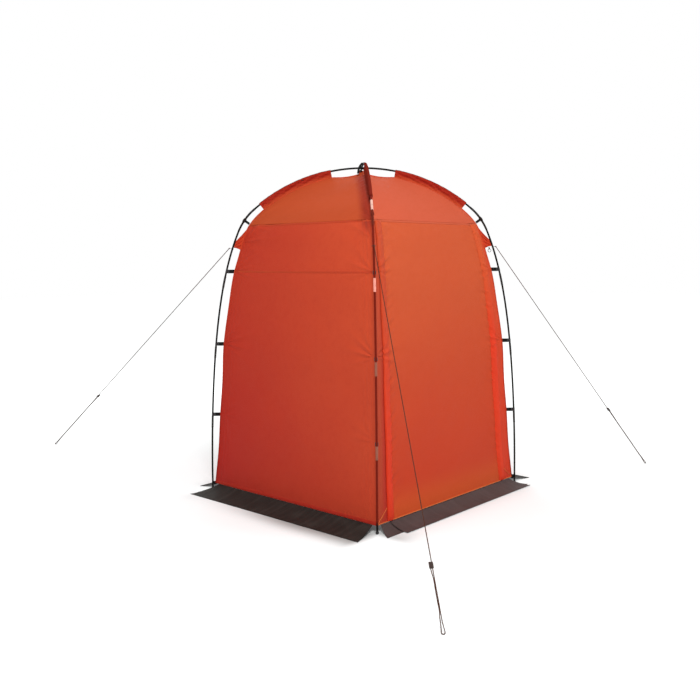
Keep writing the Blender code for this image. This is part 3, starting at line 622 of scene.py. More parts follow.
def fibre_finish():
    finish = Finish("glass_fibre", (0.010, 0.009, 0.008), 0.40, gloss=0.05)
    streak = finish.noise(40.0, 4.0, 0.6, finish.cloth_place()[2], (8.0, 0.25, 1.0))
    scuff = finish.noise(35.0, 3.0)
    plain = finish.mix(streak.smooth(0.3, 0.8), (0.004, 0.0035, 0.003), (0.014, 0.012, 0.010))
    # At the front corner the glass fibre is painted red: painted reflection of the cloth.
    reflection_tint = finish.mix(streak.smooth(0.3, 0.8), (0.15, 0.010, 0.004), (0.21, 0.014, 0.006))
    return finish.done(finish.mix(front_light_share(finish), plain, reflection_tint), 0.34 + scuff * 0.22,
                       streak * 0.6 + scuff * 0.4, 0.0003)


def metal_finish(name, colour, roughness, metallic=1.0, painted_light_levels=None, gloss=0.5, ring=0.0009, scratch=0.10):
    """Drawn metal. Where `painted_light_levels` are given, light is painted on it at the front corner only:
    bright painted highlights, or a painted red reflection of the cloth. They are its colours there low down,
    at the height of the upper leg joint, and on the roof."""
    finish = Finish(name, colour, roughness, metallic, gloss)
    fine, broad = finish.noise(220.0, 4.0, 0.65), finish.noise(30.0, 3.0)
    # The colour before wear; at the front corner it also holds the painted highlights or painted red
    # reflection.
    unworn_and_lit = colour
    if painted_light_levels:
        height = finish.place()[2]
        lower = finish.mix(height.smooth(1.05, 1.30), painted_light_levels[0], painted_light_levels[1])
        bright = finish.mix(height.smooth(1.55, 1.75), lower, painted_light_levels[2])
        unworn_and_lit = finish.mix(front_light_share(finish), colour, bright)
    return finish.done(finish.mix(broad.smooth(0.45, 0.85) * 0.35, unworn_and_lit, toned(colour, 0.62)),
                       roughness + (fine - 0.5) * scratch * 2 + (broad - 0.5) * 0.12,
                       finish.cloth_place()[1].wave(ring) * 0.4 + fine * 0.6, 0.00012)


def plastic_finish(name, colour, roughness=0.46):
    finish = Finish(name, colour, roughness, gloss=0.45)
    grain, scuff = finish.noise(900.0, 2.0), finish.noise(55.0, 4.0, 0.6)
    tone = finish.mix(scuff.smooth(0.52, 0.85) * 0.55, colour, toned(colour, 1.9, 0.012))
    return finish.done(tone, roughness + (scuff - 0.5) * 0.3, grain * 0.6 + scuff * 0.4, 0.00015)


def cord_finish(name, ground, fleck, plait=0.0034):
    """A braid: strands lean both ways round the cord, and every few plaits a tracer shows."""
    finish = Finish(name, ground, 0.85, gloss=0.05)
    across, along, _ = finish.cloth_place()
    one, other = (abs((along + across * lean).wave(plait * 2)) for lean in (plait / 2, -plait / 2))
    tracer = (along + across * 0.012).wave(0.012).smooth(0.2, 0.7)
    return finish.done(finish.mix((tracer * 0.75).clamped(), ground, fleck), 0.78 + one * 0.12,
                       (one + other) * 0.5, 0.0004)


strap_webbing = webbing_finish("strap_webbing", (0.006, 0.006, 0.006))
zip_tape_finish = webbing_finish("zip_tape", (0.16, 0.012, 0.008), 0.0010)
glass_fibre = fibre_finish()
# At the front corner the ferrules are painted bright, and the elbows red: painted highlight and painted
# reflection.
ferrule_metal = metal_finish("ferrule_metal", (0.012, 0.011, 0.010), 0.36, 0.4, painted_light_levels=[
    (0.30, 0.090, 0.052), (0.93, 0.36, 0.28), (0.86, 0.50, 0.40),
])
elbow_metal = metal_finish("elbow_metal", (0.020, 0.014, 0.012), 0.50, 0.0, [(0.14, 0.018, 0.010)] * 3, 0.04)
ring_metal = metal_finish("ring_metal", (0.090, 0.075, 0.068), 0.34)
black_plastic = plastic_finish("moulded_plastic", (0.016, 0.016, 0.017))
runner_plastic = plastic_finish("runner_plastic", (0.034, 0.017, 0.013))
guy_braid = cord_finish("guy_braid", (0.100, 0.040, 0.027), (0.034, 0.016, 0.012))
elastic_braid = cord_finish("elastic_braid", (0.62, 0.60, 0.56), (0.25, 0.25, 0.27))
print(len(bpy.data.materials), "finishes")

# %% [markdown]
# ## Guy lines
# Each line is one braided cord. It is tied to a ring on the pole, runs taut to the ground, turns
# round a peg, and comes back beside itself to a runner, where it ends in a knot. The short strand
# is a tube of its own, with its own copy of its mesh; on the real line it draws in towards the
# peg when the runner slides down. Pulled taut, the strands lie side by side and only part at the
# runner and at the peg. They part early enough for the runner's whole slide, except on the front
# left line, which is too short for that.

# %% Guy lines
guy_diameter, guy_half_gap, guy_loop_radius, guy_loop_near = 0.004, 0.004, 0.008, 0.008
guy_loop_lead, guy_straight_end, guy_ground_gap = 0.050, 0.015, 0.0005
guy_end_margin, runner_length = 0.010, 0.030
cord_diameter, strand_gap, runner_mouth = 0.0047, 0.0002, 0.004
ring_diameter, ring_wire, guy_height, seam_gap = 0.023, 0.003, 1.655, 0.0003
knot_turns, knot_radius, knot_length = 2.0, 0.0024, 0.009
peg_places = {
    "front_left": (-1.570, -1.818), "front_right": (1.888, -1.212),
    "back_left": (-0.725, 2.942), "back_right": (1.700, 1.680),
}
runner_distances = {
    "front_left": 0.300, "front_right": 0.573, "back_left": 0.828, "back_right": 0.573,
}
runner_travels = {"front_left": 0.2, "front_right": 0.3, "back_left": 0.3, "back_right": 0.3}


def guy_frame(corner):
    """Both ends of the long strand, its direction, the level way to the other strand, and the
    middle and outward direction of the ring."""
    lean = math.atan(leg_slope(guy_height))
    outward = in_plane(corner, math.cos(lean), math.sin(lean))
    pole = in_plane(corner, leg_reach(guy_height), guy_height)
    middle = pole + outward * (ring_diameter / 2 - ring_wire / 2 - pole_radius - seam_gap)
    start = middle + outward * (ring_diameter / 2 + ring_wire / 2 + seam_gap + guy_diameter / 2)
    last = np.array([*peg_places[corner], 0.0])
    last[2] = guy_loop_radius * abs(unit(last - start)[2]) + guy_diameter / 2 + guy_ground_gap
    way = unit(last - start)
    return start, last, way, unit(np.cross(way, [0, 0, 1])), middle, outward


def strand(name, line, normal, replaces=()):
    cord = tube(line, normal, [cord_diameter / 2] * len(line))
    return make(name, cord, guy_braid, replaces=replaces)


def knot(name, middle, way, sideways, body):
    """A stopper knot: the cord winds round itself on a fat coil that swells in the middle."""
    share = np.linspace(0, 1, 61)
    angle = 2 * math.pi * knot_turns * share
    swell = knot_radius * (0.62 + 0.38 * np.sin(math.pi * share))
    line = (middle + np.outer((share - 0.5) * knot_length, way) + np.outer(swell * np.cos(angle), sideways)
            + np.outer(swell * np.sin(angle), np.cross(way, sideways)))
    ways = unit(np.gradient(line, axis=0))
    across = unit(np.cross(ways, way))
    coil = rod(line, across, np.cross(ways, across), circle(np.full(61, guy_diameter / 2), 10))
    return make(name, coil, guy_braid, body)


def guy_cords(corner):
    """The long strand with its turn round the peg, the short strand, and the knots at their ends."""
    start, last, way, sideways, _, _ = guy_frame(corner)
    peg, normal = last + sideways * guy_half_gap, np.cross(way, sideways)
    spread = (guy_loop_radius - guy_half_gap) * (1 - guy_loop_near / guy_loop_lead)
    near = sideways * (guy_half_gap + spread)
    straight = guy_loop_lead + guy_straight_end
    out = [start + (last - way * straight - start) * share for share in (0, 0.05, 0.25, 0.5, 0.75, 1)]
    out += [last - way * guy_loop_lead, peg - near - way * guy_loop_near]
    out += [peg + guy_loop_radius * (way * math.sin(turn) - sideways * math.cos(turn))
            for turn in np.linspace(0, math.pi, 9)]
    there = peg + sideways * guy_half_gap - way * straight
    out += [peg + near - way * guy_loop_near, there + way * guy_straight_end, there]
    back = runner_distances[corner] + runner_length / 2 - guy_end_margin - straight
    kept = 1 - runner_travels[corner] / back
    inside = (runner_length + runner_mouth) / back
    clear = 1 - (inside if corner == "front_left" else inside / kept)
    pull = sideways * (2 * guy_half_gap - cord_diameter - strand_gap)
    drawn_together = [(0, 0), (0.03, 0.5), (0.08, 1), (0.30, 1), (0.5, 1), (clear - 0.12, 1)]
    drawn_together += [(clear - 0.06, 0.5), (clear, 0), (1, 0)]
    long_line = smooth_line(out, 190, 0.4)
    short_line = smooth_line([there - way * back * share - pull * drawn for share, drawn in drawn_together],
                             60, 0.5)
    long_cord = strand(f"guy_cord_long_{corner}", long_line, normal, [f"guy_line_{corner}"])
    short_cord = strand(f"guy_cord_short_{corner}", short_line, normal)
    knots = [knot(f"guy_knot_{end}_{corner}", middle, way, sideways, body) for end, middle, body in (
        ("ring", start + way * 0.004, "tent"),
        ("runner", short_line[-1] - way * 0.002, f"runner_{corner}"))]
    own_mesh(short_cord)
    runner = repaint(f"guy_runner_{corner}", runner_plastic)
    print(corner, "guy cord", round(float(lengths_of(long_line)[-1] + lengths_of(short_line)[-1]), 3), "m")


for corner in corners:
    guy_cords(corner)

# %% [markdown]
# ## Poles
# A pole is a tube along its line. Its rods meet in metal ferrules, which are a little fatter, with
# a rolled edge at each end. The rods reach into the bent elbow, which swells to a collar at its
# bend. The elastic cord inside stays as the construction model has it.

# %% Poles and ferrules
rod_radius, sleeve_radius, ferrule_length, rolled_edge = 0.0062, 0.0073, 0.080, 0.0011
first_joint_height, joint_pitch, socket_start = 0.475, 0.4825, 12
collar_swell = np.array([0.0008, 0.0040, 0.0046, 0.0040, 0.0008])
ferrule_marks = np.array([-0.5, -0.49, -0.47, -0.45, -0.44, *np.linspace(-0.42, 0.42, 7),
                          0.44, 0.45, 0.47, 0.49, 0.5])
ferrule_profile = np.array([-0.9, -0.1, 0.35, 0.35, *[0] * 9, 0.35, 0.35, -0.1, -0.9])


def arch_lines(corner):
    """The middle lines of a leg, its elbow, and this half of the roof pole, as reach and height."""
    heights = np.linspace(tip_collar_height, elbow_height - elbow_arm, 90)
    leg = np.stack([leg_reach(heights), heights], axis=-1)
    radius, centre = roof_circle(roof_top(corner))
    angles = np.linspace(math.asin(elbow_reach / radius) - elbow_arm / radius, 0, 60)
    roof = np.stack([radius * np.sin(angles), centre + radius * np.cos(angles)], axis=-1)
    share = np.linspace(0, 1, 19)[:, None]
    corner_point = np.array([elbow_reach, elbow_height])
    elbow = (1 - share) ** 2 * leg[-1] + 2 * share * (1 - share) * corner_point + share**2 * roof[0]
    return leg, elbow, roof


def read_between(at, places, values):
    """Each column of the values, read between the places."""
    return np.stack([np.interp(at, places, column) for column in values.T], axis=-1)


def ferrule(line, normal, middle):
    """A sleeve on a pole: a tube with a chamfer and a rolled bead at each end."""
    at = np.clip(middle + ferrule_marks * ferrule_length, 0, lengths_of(line)[-1])
    points = read_between(at, lengths_of(line), line)
    points += np.outer(np.arange(len(at)) * 1e-7, unit(line[-1] - line[0]))
    return tube(points, normal, sleeve_radius + ferrule_profile * rolled_edge, 20)


def pole(name, normal, line, joints, node):
    make(name, tube(line, normal, [rod_radius] * len(line), 16), glass_fibre,
         replaces=[node])
    make(f"{name}_ferrules", [ferrule(line, normal, joint) for joint in joints], ferrule_metal)
    print(name, round(float(lengths_of(line)[-1]), 3), "m")


for corner in corners:
    leg, elbow, roof = (in_plane(corner, *line.T) for line in arch_lines(corner))
    normal, bend = plane_normal(corner), len(elbow) // 2
    joints = [first_joint_height + joint_pitch * count - tip_collar_height for count in range(3)]
    pole(f"leg_rod_{corner}", normal, leg, joints, f"pole_leg_{corner}")
    make(f"elbow_{corner}", tube(elbow, normal, [rod_radius + 0.0006] * len(elbow), 16), elbow_metal,
         replaces=[f"pole_elbow_{corner}"])
    make(f"elbow_collar_{corner}", tube(elbow[bend - 2:bend + 3], normal, rod_radius + collar_swell, 16),
         elbow_metal, smooth=40)

crossing_wraps = []
for label, ends in (("under", ("front_right", "back_left")), ("over", ("front_left", "back_right"))):
    halves = []
    for end in ends:
        _, elbow, roof = arch_lines(end)
        halves.append(in_plane(end, *np.concatenate([elbow[socket_start:-1], roof]).T))
    line = np.concatenate([halves[0], halves[1][-2::-1]])
    total = lengths_of(line)[-1]
    joints = [ferrule_length / 2, total * 0.26, total * 0.74, total - ferrule_length / 2]
    middle = np.abs(lengths_of(line) - total / 2) < ferrule_length / 2
    crossing_wraps.append((line[middle], plane_normal(ends[0])))
    pole(f"roof_rod_{label}", plane_normal(ends[0]), line, joints, f"pole_roof_{label}")
    repaint(f"shock_cord_{label}", elastic_braid)

# %% [markdown]
# The poles stand on moulded tips: a turned shape with a flat sole, a rounded rim and two grip
# grooves. A turned shape is one outline of radius and height, carried round the leg's foot.

# %% Pole tips
tip_outline = np.array([
    (0.0, 0.0), (0.0055, 0.0), (0.0070, 0.0), (0.0088, 0.0010), (0.0100, 0.0030), (0.0100, 0.0052),
    (0.0094, 0.0056), (0.0094, 0.0064), (0.0100, 0.0068), (0.0100, 0.0086), (0.0094, 0.0090),
    (0.0094, 0.0098), (0.0099, 0.0103), (0.0094, 0.0128), (0.0082, 0.0139), (0.0058, 0.0140),
])
for corner in corners:
    foot = in_plane(corner, leg_reach(tip_outline[:, 1]), tip_outline[:, 1])
    rings = loft(foot, (1, 0, 0), (0, 1, 0), circle(tip_outline[:, 0], 32))
    make(f"pole_tip_{corner}", patch(rings, wrap=True, caps=True), black_plastic,
         replaces=[f"pole_foot_{corner}"], smooth=40)
print(len(corners), "pole tips")

# %% [markdown]
# ## The cloth's shape
# A corner seam starts at the hem, runs 54 mm inside the pole past its clips, bends in at the
# shoulder, and follows the roof pole to the peak. Between two clips it is free, so the pull of the
# cloth draws it in by a few millimetres. A wall spans two such seams. A point on it is given by
# its distance from the wall's middle, its share up the seam, and how far it stands off the surface.

# %% Corner seam line
canopy_inset, peak_inset, peak_reach = 0.054, 0.034, 0.040
hem_half_side, hem_height = 0.7346, 0.041
sleeve_top_share, sleeve_end_share = 0.26, 0.83
sleeve_draw_up, scallop_sag, draw_in = 0.011, 0.013, 0.0035
clip_heights = (0.527, 1.0135, 1.504)
shoulder_half, shoulder_height, gusset_height = 0.54282, 1.81207, 1.70


def rib_height(reach):
    """Height of the roof seam. The sleeve holds it near the pole, and between sleeve and peak it sags."""
    radius, centre = roof_circle(apex_height)
    share = np.minimum(reach / (sleeve_top_share * elbow_reach), 1)
    inset = peak_inset + (canopy_inset - sleeve_draw_up - peak_inset) * (1 - (1 - share) ** 2)
    return centre + np.sqrt((radius - inset) ** 2 - reach**2) - scallop_sag * np.sin(math.pi * share)


def seam_route():
    """Half side and height of the seam's fixed points: hem, clips, shoulder and roof."""
    heights = np.array([0.527, 1.0135, 1.25875, 1.504, 1.65803])
    inside = (leg_reach(heights) - canopy_inset * np.hypot(1, leg_slope(heights))) / root_two
    sleeve = np.linspace(sleeve_end_share, sleeve_top_share, 9) * elbow_reach
    reaches = np.concatenate([sleeve, np.linspace(sleeve[-1], peak_reach, 6)[1:]])
    return np.array([
        (hem_half_side, hem_height), *zip(inside, heights), (shoulder_half, shoulder_height),
        *zip(reaches / root_two, rib_height(reaches)), (0.013, 2.1530), (0.005, 2.1640), (0.0005, 2.1720),
    ])


seam_line = smooth_line(seam_route(), 600)
seam_length = lengths_of(seam_line)
seam_share = seam_length / seam_length[-1]
seam_steps = np.gradient(seam_line, axis=0)
seam_outward = unit(np.stack([seam_steps[:, 1], -seam_steps[:, 0]], axis=-1))
shoulder_share = float(np.interp(shoulder_height, seam_line[:, 1], seam_share))
held_heights = np.array([hem_height, *clip_heights, gusset_height, shoulder_height])


def seam_at(share):
    """Half side, height and outward direction of the corner seam at a share of its length."""
    half, height = (np.interp(share, seam_share, column) for column in seam_line.T)
    span = np.clip(np.searchsorted(held_heights, height, side="right") - 1, 0, len(held_heights) - 2)
    low, high = held_heights[span], held_heights[span + 1]
    free = np.clip((height - low) / (high - low), 0, 1)
    pulled = draw_in * np.minimum(1, (high - low) / 0.45) * np.sin(math.pi * free) ** 2
    half = half - np.where(height < shoulder_height, pulled, 0)
    return half, height, unit(read_between(share, seam_share, seam_outward))


def share_at(height):
    """The share of the seam's length at which it has a given height."""
    return np.interp(height, seam_line[:, 1], seam_share)


def half_at(height):
    return float(seam_at(share_at(height))[0])


print("corner seam", round(float(seam_length[-1]), 3), "m, shoulder at", round(shoulder_share, 3))

# %% [markdown]
# ## Folds
# Thin cloth under tension isn't flat. It dips between the poles, ripples fan out from each place
# where a strap pulls, and the sewn edges pucker. Each of these is a small formula that adds a few
# millimetres to the surface. Their sum is the relief of the wall, and it fades to nothing at the
# corner seams, so that neighbouring walls still meet.

# %% Fold formulas
clip_pulls = (0.0020, 0.0056, 0.0046)
gusset_pulls = {"front": (0.0026, 0.0050), "right": (0.0050, 0.0050), "back": (0.0050, 0.0050),
                "left": (0.0070, 0.0042)}
quarter_turns = {"front": 0, "right": 1, "back": 2, "left": 3}
wall_seeds = {"front": 21, "right": 34, "back": 47, "left": 58}


def hump(share):
    """A sine arch: 0 at both ends of the share, 1 in its middle."""
    return np.sin(math.pi * np.clip(share, 0, 1))


def fan(x, z, anchor, lean, spread, near, count, height, phase):
    """Ripples that fan out from an anchor: their height is greatest `near` metres away from it."""
    dx, dz = x - anchor[0], z - anchor[1]
    distance = np.hypot(dx, dz) + 1e-6
    angle = (np.arctan2(dz, dx) - lean + math.pi) % (2 * math.pi) - math.pi
    window = np.where(np.abs(angle) < spread, np.cos(angle / spread * math.pi / 2) ** 2, 0)
    rise = distance / near * np.exp(1 - distance / near)
    return height * rise * window * (1 - np.abs(np.sin(count * angle / 2 + phase)) * 1.6)


def billow(x, z, lengths, seed):
    """Slow swells: a sum of sines in seeded directions, from about -1 to 1."""
    draw = np.random.default_rng(seed)
    total = 0
    for length in lengths:
        turn, phase = draw.uniform(0, math.pi), draw.uniform(0, 2 * math.pi)
        total = total + np.sin(2 * math.pi / length * (x * math.cos(turn) + z * math.sin(turn)) + phase)
    return total / len(lengths)


def puckers(along, off, reach, length, height, slant, seed):
    """Short creases across a line of stitches: `off` is the distance to it, `along` the way on it."""
    uneven = 0.55 + 0.45 * billow(along, off * 0, (0.31, 0.17, 0.083), seed)
    drift = 1.7 * billow(along, off * 0, (0.12, 0.07), seed + 1)
    wave = np.sin(2 * math.pi * (along + slant * off) / length + drift)
    return height * uneven * wave * np.exp(-((off / reach) ** 2))


def wall_rise(z):
    """0 at the hem, 1 at the shoulder."""
    return np.clip((z - hem_height) / (shoulder_height - hem_height), 0, 1)


def wall_relief(x, z, half, wall):
    """The relief of one wall between hem and shoulder, in metres."""
    seed = wall_seeds[wall]
    u = np.clip(x / half, -1, 1)
    rise, edge = wall_rise(z), 1 - np.abs(u) ** 8
    relief = -0.016 * (1 - u**2) * hump(rise) ** 0.8
    relief += 0.0042 * billow(x, z, (1.15, 0.74, 0.52), seed) * edge * hump(rise) ** 0.5
    relief += 0.0011 * billow(x, z, (0.29, 0.21, 0.16), seed + 5) * edge * hump(rise) ** 0.5
    for number, (height, strength) in enumerate(zip(clip_heights, clip_pulls)):
        for side, lean in ((-1, 0.25), (1, math.pi - 0.25)):
            anchor = side * half_at(height), height
            relief += fan(x, z, anchor, lean, 1.15, 0.065, 15, strength, seed + number)
    beside = half - np.abs(x)
    drift = 2.5 * billow(z, z * 0, (0.7, 0.41), seed + 9)
    along_seam = 0.0017 * np.exp(-((beside / 0.085) ** 2)) * np.sin(2 * math.pi * beside / 0.030 + drift)
    for side, lean, pull in zip((-1, 1), (0.35, math.pi - 0.75), gusset_pulls[wall]):
        anchor = side * half_at(gusset_height), gusset_height
        relief += fan(x, z, anchor, lean, 1.15, 0.100, 11, pull, seed)
        anchor = side * shoulder_half, shoulder_height
        relief += fan(x, z, anchor, lean + side * 0.35, 1.1, 0.07, 14, 0.003, seed)
        relief += np.where(x * side > 0, 1, 0) * along_seam * edge
    relief += puckers(x, z - hem_height, 0.050, 0.034, 0.0016, 0.35, seed + 3) * edge
    for seam in (clip_heights[2], shoulder_height):
        relief += puckers(x, z - seam, 0.030, 0.026, 0.0009, 0.5, seed + 11) * edge
    return relief * np.where(np.abs(u) > 0.999, 0, 1)


def roof_relief(u, rise, x, seed):
    """The relief of one roof panel: it dips between the ribs, and creases run from its corners."""
    edge = 1 - np.abs(u) ** 6
    relief = -0.020 * (1 - u**2) * hump(rise) ** 0.9
    relief += 0.0028 * billow(x, rise * 0.7, (0.8, 0.45, 0.3), seed) * edge * hump(rise)
    for side in (-1, 1):
        anchor = side * shoulder_half, 0.0
        relief += fan(x, rise * 0.62, anchor, math.pi / 2 + side * 0.75, 0.9, 0.09, 15, 0.0034, seed + side)
    beside = (1 - np.abs(u)) * shoulder_half * (1 - rise)
    drift = 2 * billow(rise, x * 0, (0.4, 0.23), seed + 2)
    wave = np.sin(2 * math.pi * (rise * 0.62 + 0.6 * beside) / 0.036 + drift)
    return relief + 0.0022 * np.exp(-((beside / 0.05) ** 2)) * edge * hump(rise) * wave


def turned(points, wall):
    """Points turned about the upright middle line, from the door wall to another wall."""
    for _ in range(quarter_turns[wall]):
        points = np.stack([-points[..., 1], points[..., 0], points[..., 2]], axis=-1)
    return points


def stood_off(wall, x, share, relief):
    """Points x metres from the middle of a wall, which stand off its plain surface by the relief."""
    half, height, out = seam_at(share)
    x, half, height = np.broadcast_arrays(x, half, height)
    return turned(np.stack([x, -half - out[..., 0] * relief, height + out[..., 1] * relief], axis=-1), wall)


def on_wall(wall, x, share, lift=0.0):
    """Points on the lower cloth of a wall, x metres from its middle, lifted off the cloth."""
    half, height, _ = seam_at(share)
    return stood_off(wall, x, share, wall_relief(x, height, half, wall) + lift)


print("fold formulas ready")

# %% [markdown]
# ## Walls
# Each plain wall is one continuous sheet from hem to shoulder. The grid's columns crowd towards the
# corners, where the ripples are finest. Its own coordinates are real metres of cloth, so threads
# and stitches keep their size wherever the sheet narrows.

# %% Plain walls
cloth_thickness, corner_clear = 0.0008, 0.0015


def crowded(count, crowd):
    """Shares from -1 to 1 that lie closer together near both ends."""
    plain = np.linspace(-1, 1, count)[None, :]
    return (1 - crowd) * plain + crowd * np.sin(math.pi / 2 * plain)


def cloth_patch(points, across, along, inside=(0, 0, 1), wrap=False):
    return patch(points, np.stack(np.broadcast_arrays(across, along), axis=-1), wrap, inside=np.array(inside))


def declare_sheet(points):
    """Works out the cross products of a sheet's cell diagonals, and keeps nothing of them."""
    crossed = np.cross(points[1:, 1:] - points[:-1, :-1], points[:-1, 1:] - points[1:, :-1])


for wall in ("left", "back", "right"):
    share = np.linspace(0, shoulder_share, 250)[:, None]
    x = crowded(185, 0.6) * (seam_at(share)[0] - corner_clear)
    points = on_wall(wall, x, share)
    item = make(f"hut_wall_{wall}", cloth_patch(points, x, share * seam_length[-1]), orange_cloth,
                thickness=cloth_thickness,
                replaces=[f"wall_{wall}", f"wall_band_{wall}"])
    declare_sheet(points)

# %% [markdown]
# ## Roof
# The four roof panels are sewn along the ribs into one dome, so here they are one sheet that
# runs round all four sides and closes at the peak. Each panel dips a little between its ribs.

# %% Roof canopy
share = np.linspace(shoulder_share, 1, 105)[:, None]
rise, half = (share - shoulder_share) / (1 - shoulder_share), seam_at(share)[0]
u = crowded(72, 0.5)
panels = [stood_off(wall, u * half, share, roof_relief(u, rise, u * half, wall_seeds[wall]))[:, :-1]
          for wall in quarter_turns]
points = np.concatenate(panels, axis=1)
across = np.concatenate([half * (u[:, :-1] + 2 * number) for number in range(4)] + [half * 7], axis=1)
item = make("roof_canopy", cloth_patch(points, across, share * seam_length[-1], (0, 0, 1.5), True),
            roof_cloth, thickness=cloth_thickness,
            replaces=[f"roof_panel_{wall}" for wall in quarter_turns])
closed = np.concatenate([points, points[:, :1]], axis=1)
declare_sheet(closed)

# %% [markdown]
# ## Door wall
# The door wall is three pieces: a narrow jamb at each corner and the door between them. A storm
# flap runs down each side of the door. It hides the zip, and its line of stitches puckers the
# door beside it, which gives the two wrinkled bands; the flaps' cloth is painted brighter than the
# door's, which makes the bands bright: painted light. The door sheet and its storm flaps are handed
# to the tent, with their place baked into their points.

# %% Door panel and jambs
jamb_foot_width, jamb_top_width, zip_width = 0.105, 0.024, 0.012
flap_overlap, flap_width, flap_tunnel = 0.008, 0.062, 0.0100


def zip_line(share):
    """Distance of the zip's outer edge from the wall's middle. The jamb narrows in step with the wall."""
    half = seam_at(share)[0]
    narrowing = np.clip((half - shoulder_half) / (hem_half_side - shoulder_half), 0, 1)
    return half - jamb_top_width - (jamb_foot_width - jamb_top_width) * narrowing


def bend_at_top(item):
    """Puts the cloth on the tent's body, then clears its parent and bakes its place into its points."""
    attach(item, "tent")
    item.parent = None
    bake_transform(item)


def door_half(share):
    return zip_line(share) - zip_width - 2 * seam_gap


def door_relief(x, z, share):
    """The door's own puckers, beside the stitches of its two flaps."""
    inner = door_half(share) - (flap_width - flap_overlap - zip_width)
    relief = 0
    for side in (-1, 1):
        off = side * x - inner
        relief = relief + puckers(z, off, 0.020, 0.030, 0.0030, 0.9, 70 + side)
        relief = relief + puckers(z, off + 0.012, 0.045, 0.075, 0.0036, 0.7, 80 + side)
    return relief * hump(wall_rise(z)) ** 0.35


def on_door(x, share, lift=0.0):
    return on_wall("front", x, share, lift + door_relief(x, seam_at(share)[1], share))


share = np.linspace(0, shoulder_share, 240)[:, None]
x = crowded(160, 0.5) * door_half(share)
points = on_door(x, share)
item = make("door_sheet", cloth_patch(points, x, share * seam_length[-1]), door_cloth, "door",
            cloth_thickness, ["door_panel"])
bend_at_top(item)
declare_sheet(points)

for label, side in sides_of_door:
    share = np.linspace(0, shoulder_share, 215)[:, None]
    half = seam_at(share)[0] - corner_clear
    x = side * (half - np.linspace(0, 1, 26) * (half - zip_line(share)))
    points = on_wall("front", x, share)
    item = make(f"jamb_{label}", cloth_patch(points, x, share * seam_length[-1]), jamb_cloths[label],
                thickness=cloth_thickness, replaces=[f"door_jamb_{label}"])
    declare_sheet(points)

# %% [markdown]
# The storm flap is a strip of doubled cloth. It is stitched to the door along its inner edge and
# stands free over the zip along its outer edge, where it waves a little. Its height is a tunnel
# over the zip: a steep rise at the free edge, and a long slow fall.

# %% Storm flaps


def flap_stand(side, across, share):
    """How far a flap stands off the door: across is 0 at its free edge and 1 at its stitched edge."""
    height = seam_at(share)[1]
    rise = np.clip(across / 0.13, 0, 1) ** 0.5
    fall = np.cos(math.pi / 2 * np.clip((across - 0.36) / 0.64, 0, 1)) ** 1.3
    wave = billow(height + across * 0.05, across * 0, (0.33, 0.19, 0.11), 91 + side)
    tunnel = flap_tunnel * rise * fall * (1 + 0.10 * wave)
    crease = np.abs(puckers(height, (0.72 - across) * flap_width, 0.018, 0.030, 0.0042, 0.9, 95 + side))
    crease = crease * np.clip((1 - across) / 0.2, 0, 1) * hump(share / shoulder_share) ** 0.25
    foot = np.clip((height - hem_height) / 0.025, 0, 1) ** 0.5
    return 0.0013 + tunnel * (0.35 + 0.65 * foot) + crease


for label, side in sides_of_door:
    share = np.linspace(0.0015, shoulder_share - 0.004, 330)[:, None]
    across = np.linspace(0, 1, 26)[None, :]
    x = side * (zip_line(share) + flap_overlap - across * flap_width)
    points = on_door(x, share, flap_stand(side, across, share))
    item = make(f"storm_flap_{label}", cloth_patch(points, x, share * seam_length[-1]), flap_cloths[label],
                "door", 0.0012)
    bend_at_top(item)
    declare_sheet(points)

# %% [markdown]
# ## Zips
# A coil zip is two rows of small teeth on a woven tape. The teeth are one short bar, repeated every
# 2.5 mm up the whole zip, alternately from the left and from the right. All their corners are
# worked out at once, by adding the bar's eight corners to each place along the line.

# %% Zips and sliders
tooth_pitch, tooth_size, tooth_stagger = 0.0025, (0.0042, 0.0013, 0.0016), 0.0006


def bars(middles, ways, outs):
    """Small bars, one at each middle, that lie across its way and stand in its outward direction."""
    across, high, deep = (edge * size / 2 for edge, size in zip(
        (unit(np.cross(ways, outs)), unit(ways) * 0.8, unit(outs) * 0.8), tooth_size))
    ends = [np.stack([middles + across * end + high * a + deep * b
                      for a, b in ((-1, -1), (1, -1), (1, 1), (-1, 1))], axis=1) for end in (-1, 1)]
    return [patch(bar, wrap=True, caps=True) for bar in np.stack(ends, axis=1)]


for label, side in sides_of_door:
    share = np.linspace(0.0005, shoulder_share - 0.001, 240)[:, None]
    middle = zip_width / 2 + seam_gap
    x = side * (zip_line(share) - middle + np.linspace(-0.5, 0.5, 7) * (zip_width + 0.006))
    tape = cloth_patch(on_wall("front", x, share, -0.0016), x, share * seam_length[-1])
    make(f"zip_band_{label}", tape, zip_tape_finish, thickness=0.0006,
         replaces=[f"door_zip_{label}"])
    marks = np.arange(0.006, shoulder_share * seam_length[-1] - 0.004, tooth_pitch) / seam_length[-1]
    x = side * (zip_line(marks) - middle) + np.where(np.arange(len(marks)) % 2, 1, -1) * tooth_stagger
    places, above = (on_wall("front", x, marks, lift) for lift in (-0.0006, 0.001))
    ahead = on_wall("front", side * (zip_line(marks + 0.001) - middle), marks + 0.001, -0.0006)
    make(f"zip_teeth_{label}", bars(places, ahead - places, above - places), black_plastic)
    repaint(f"zip_slider_{label}", ring_metal)
    print(f"zip_teeth_{label}", len(marks), "teeth")

# %% [markdown]
# From each slider hangs a flat pull: a straight bar with round ends and a small chamfer all round.

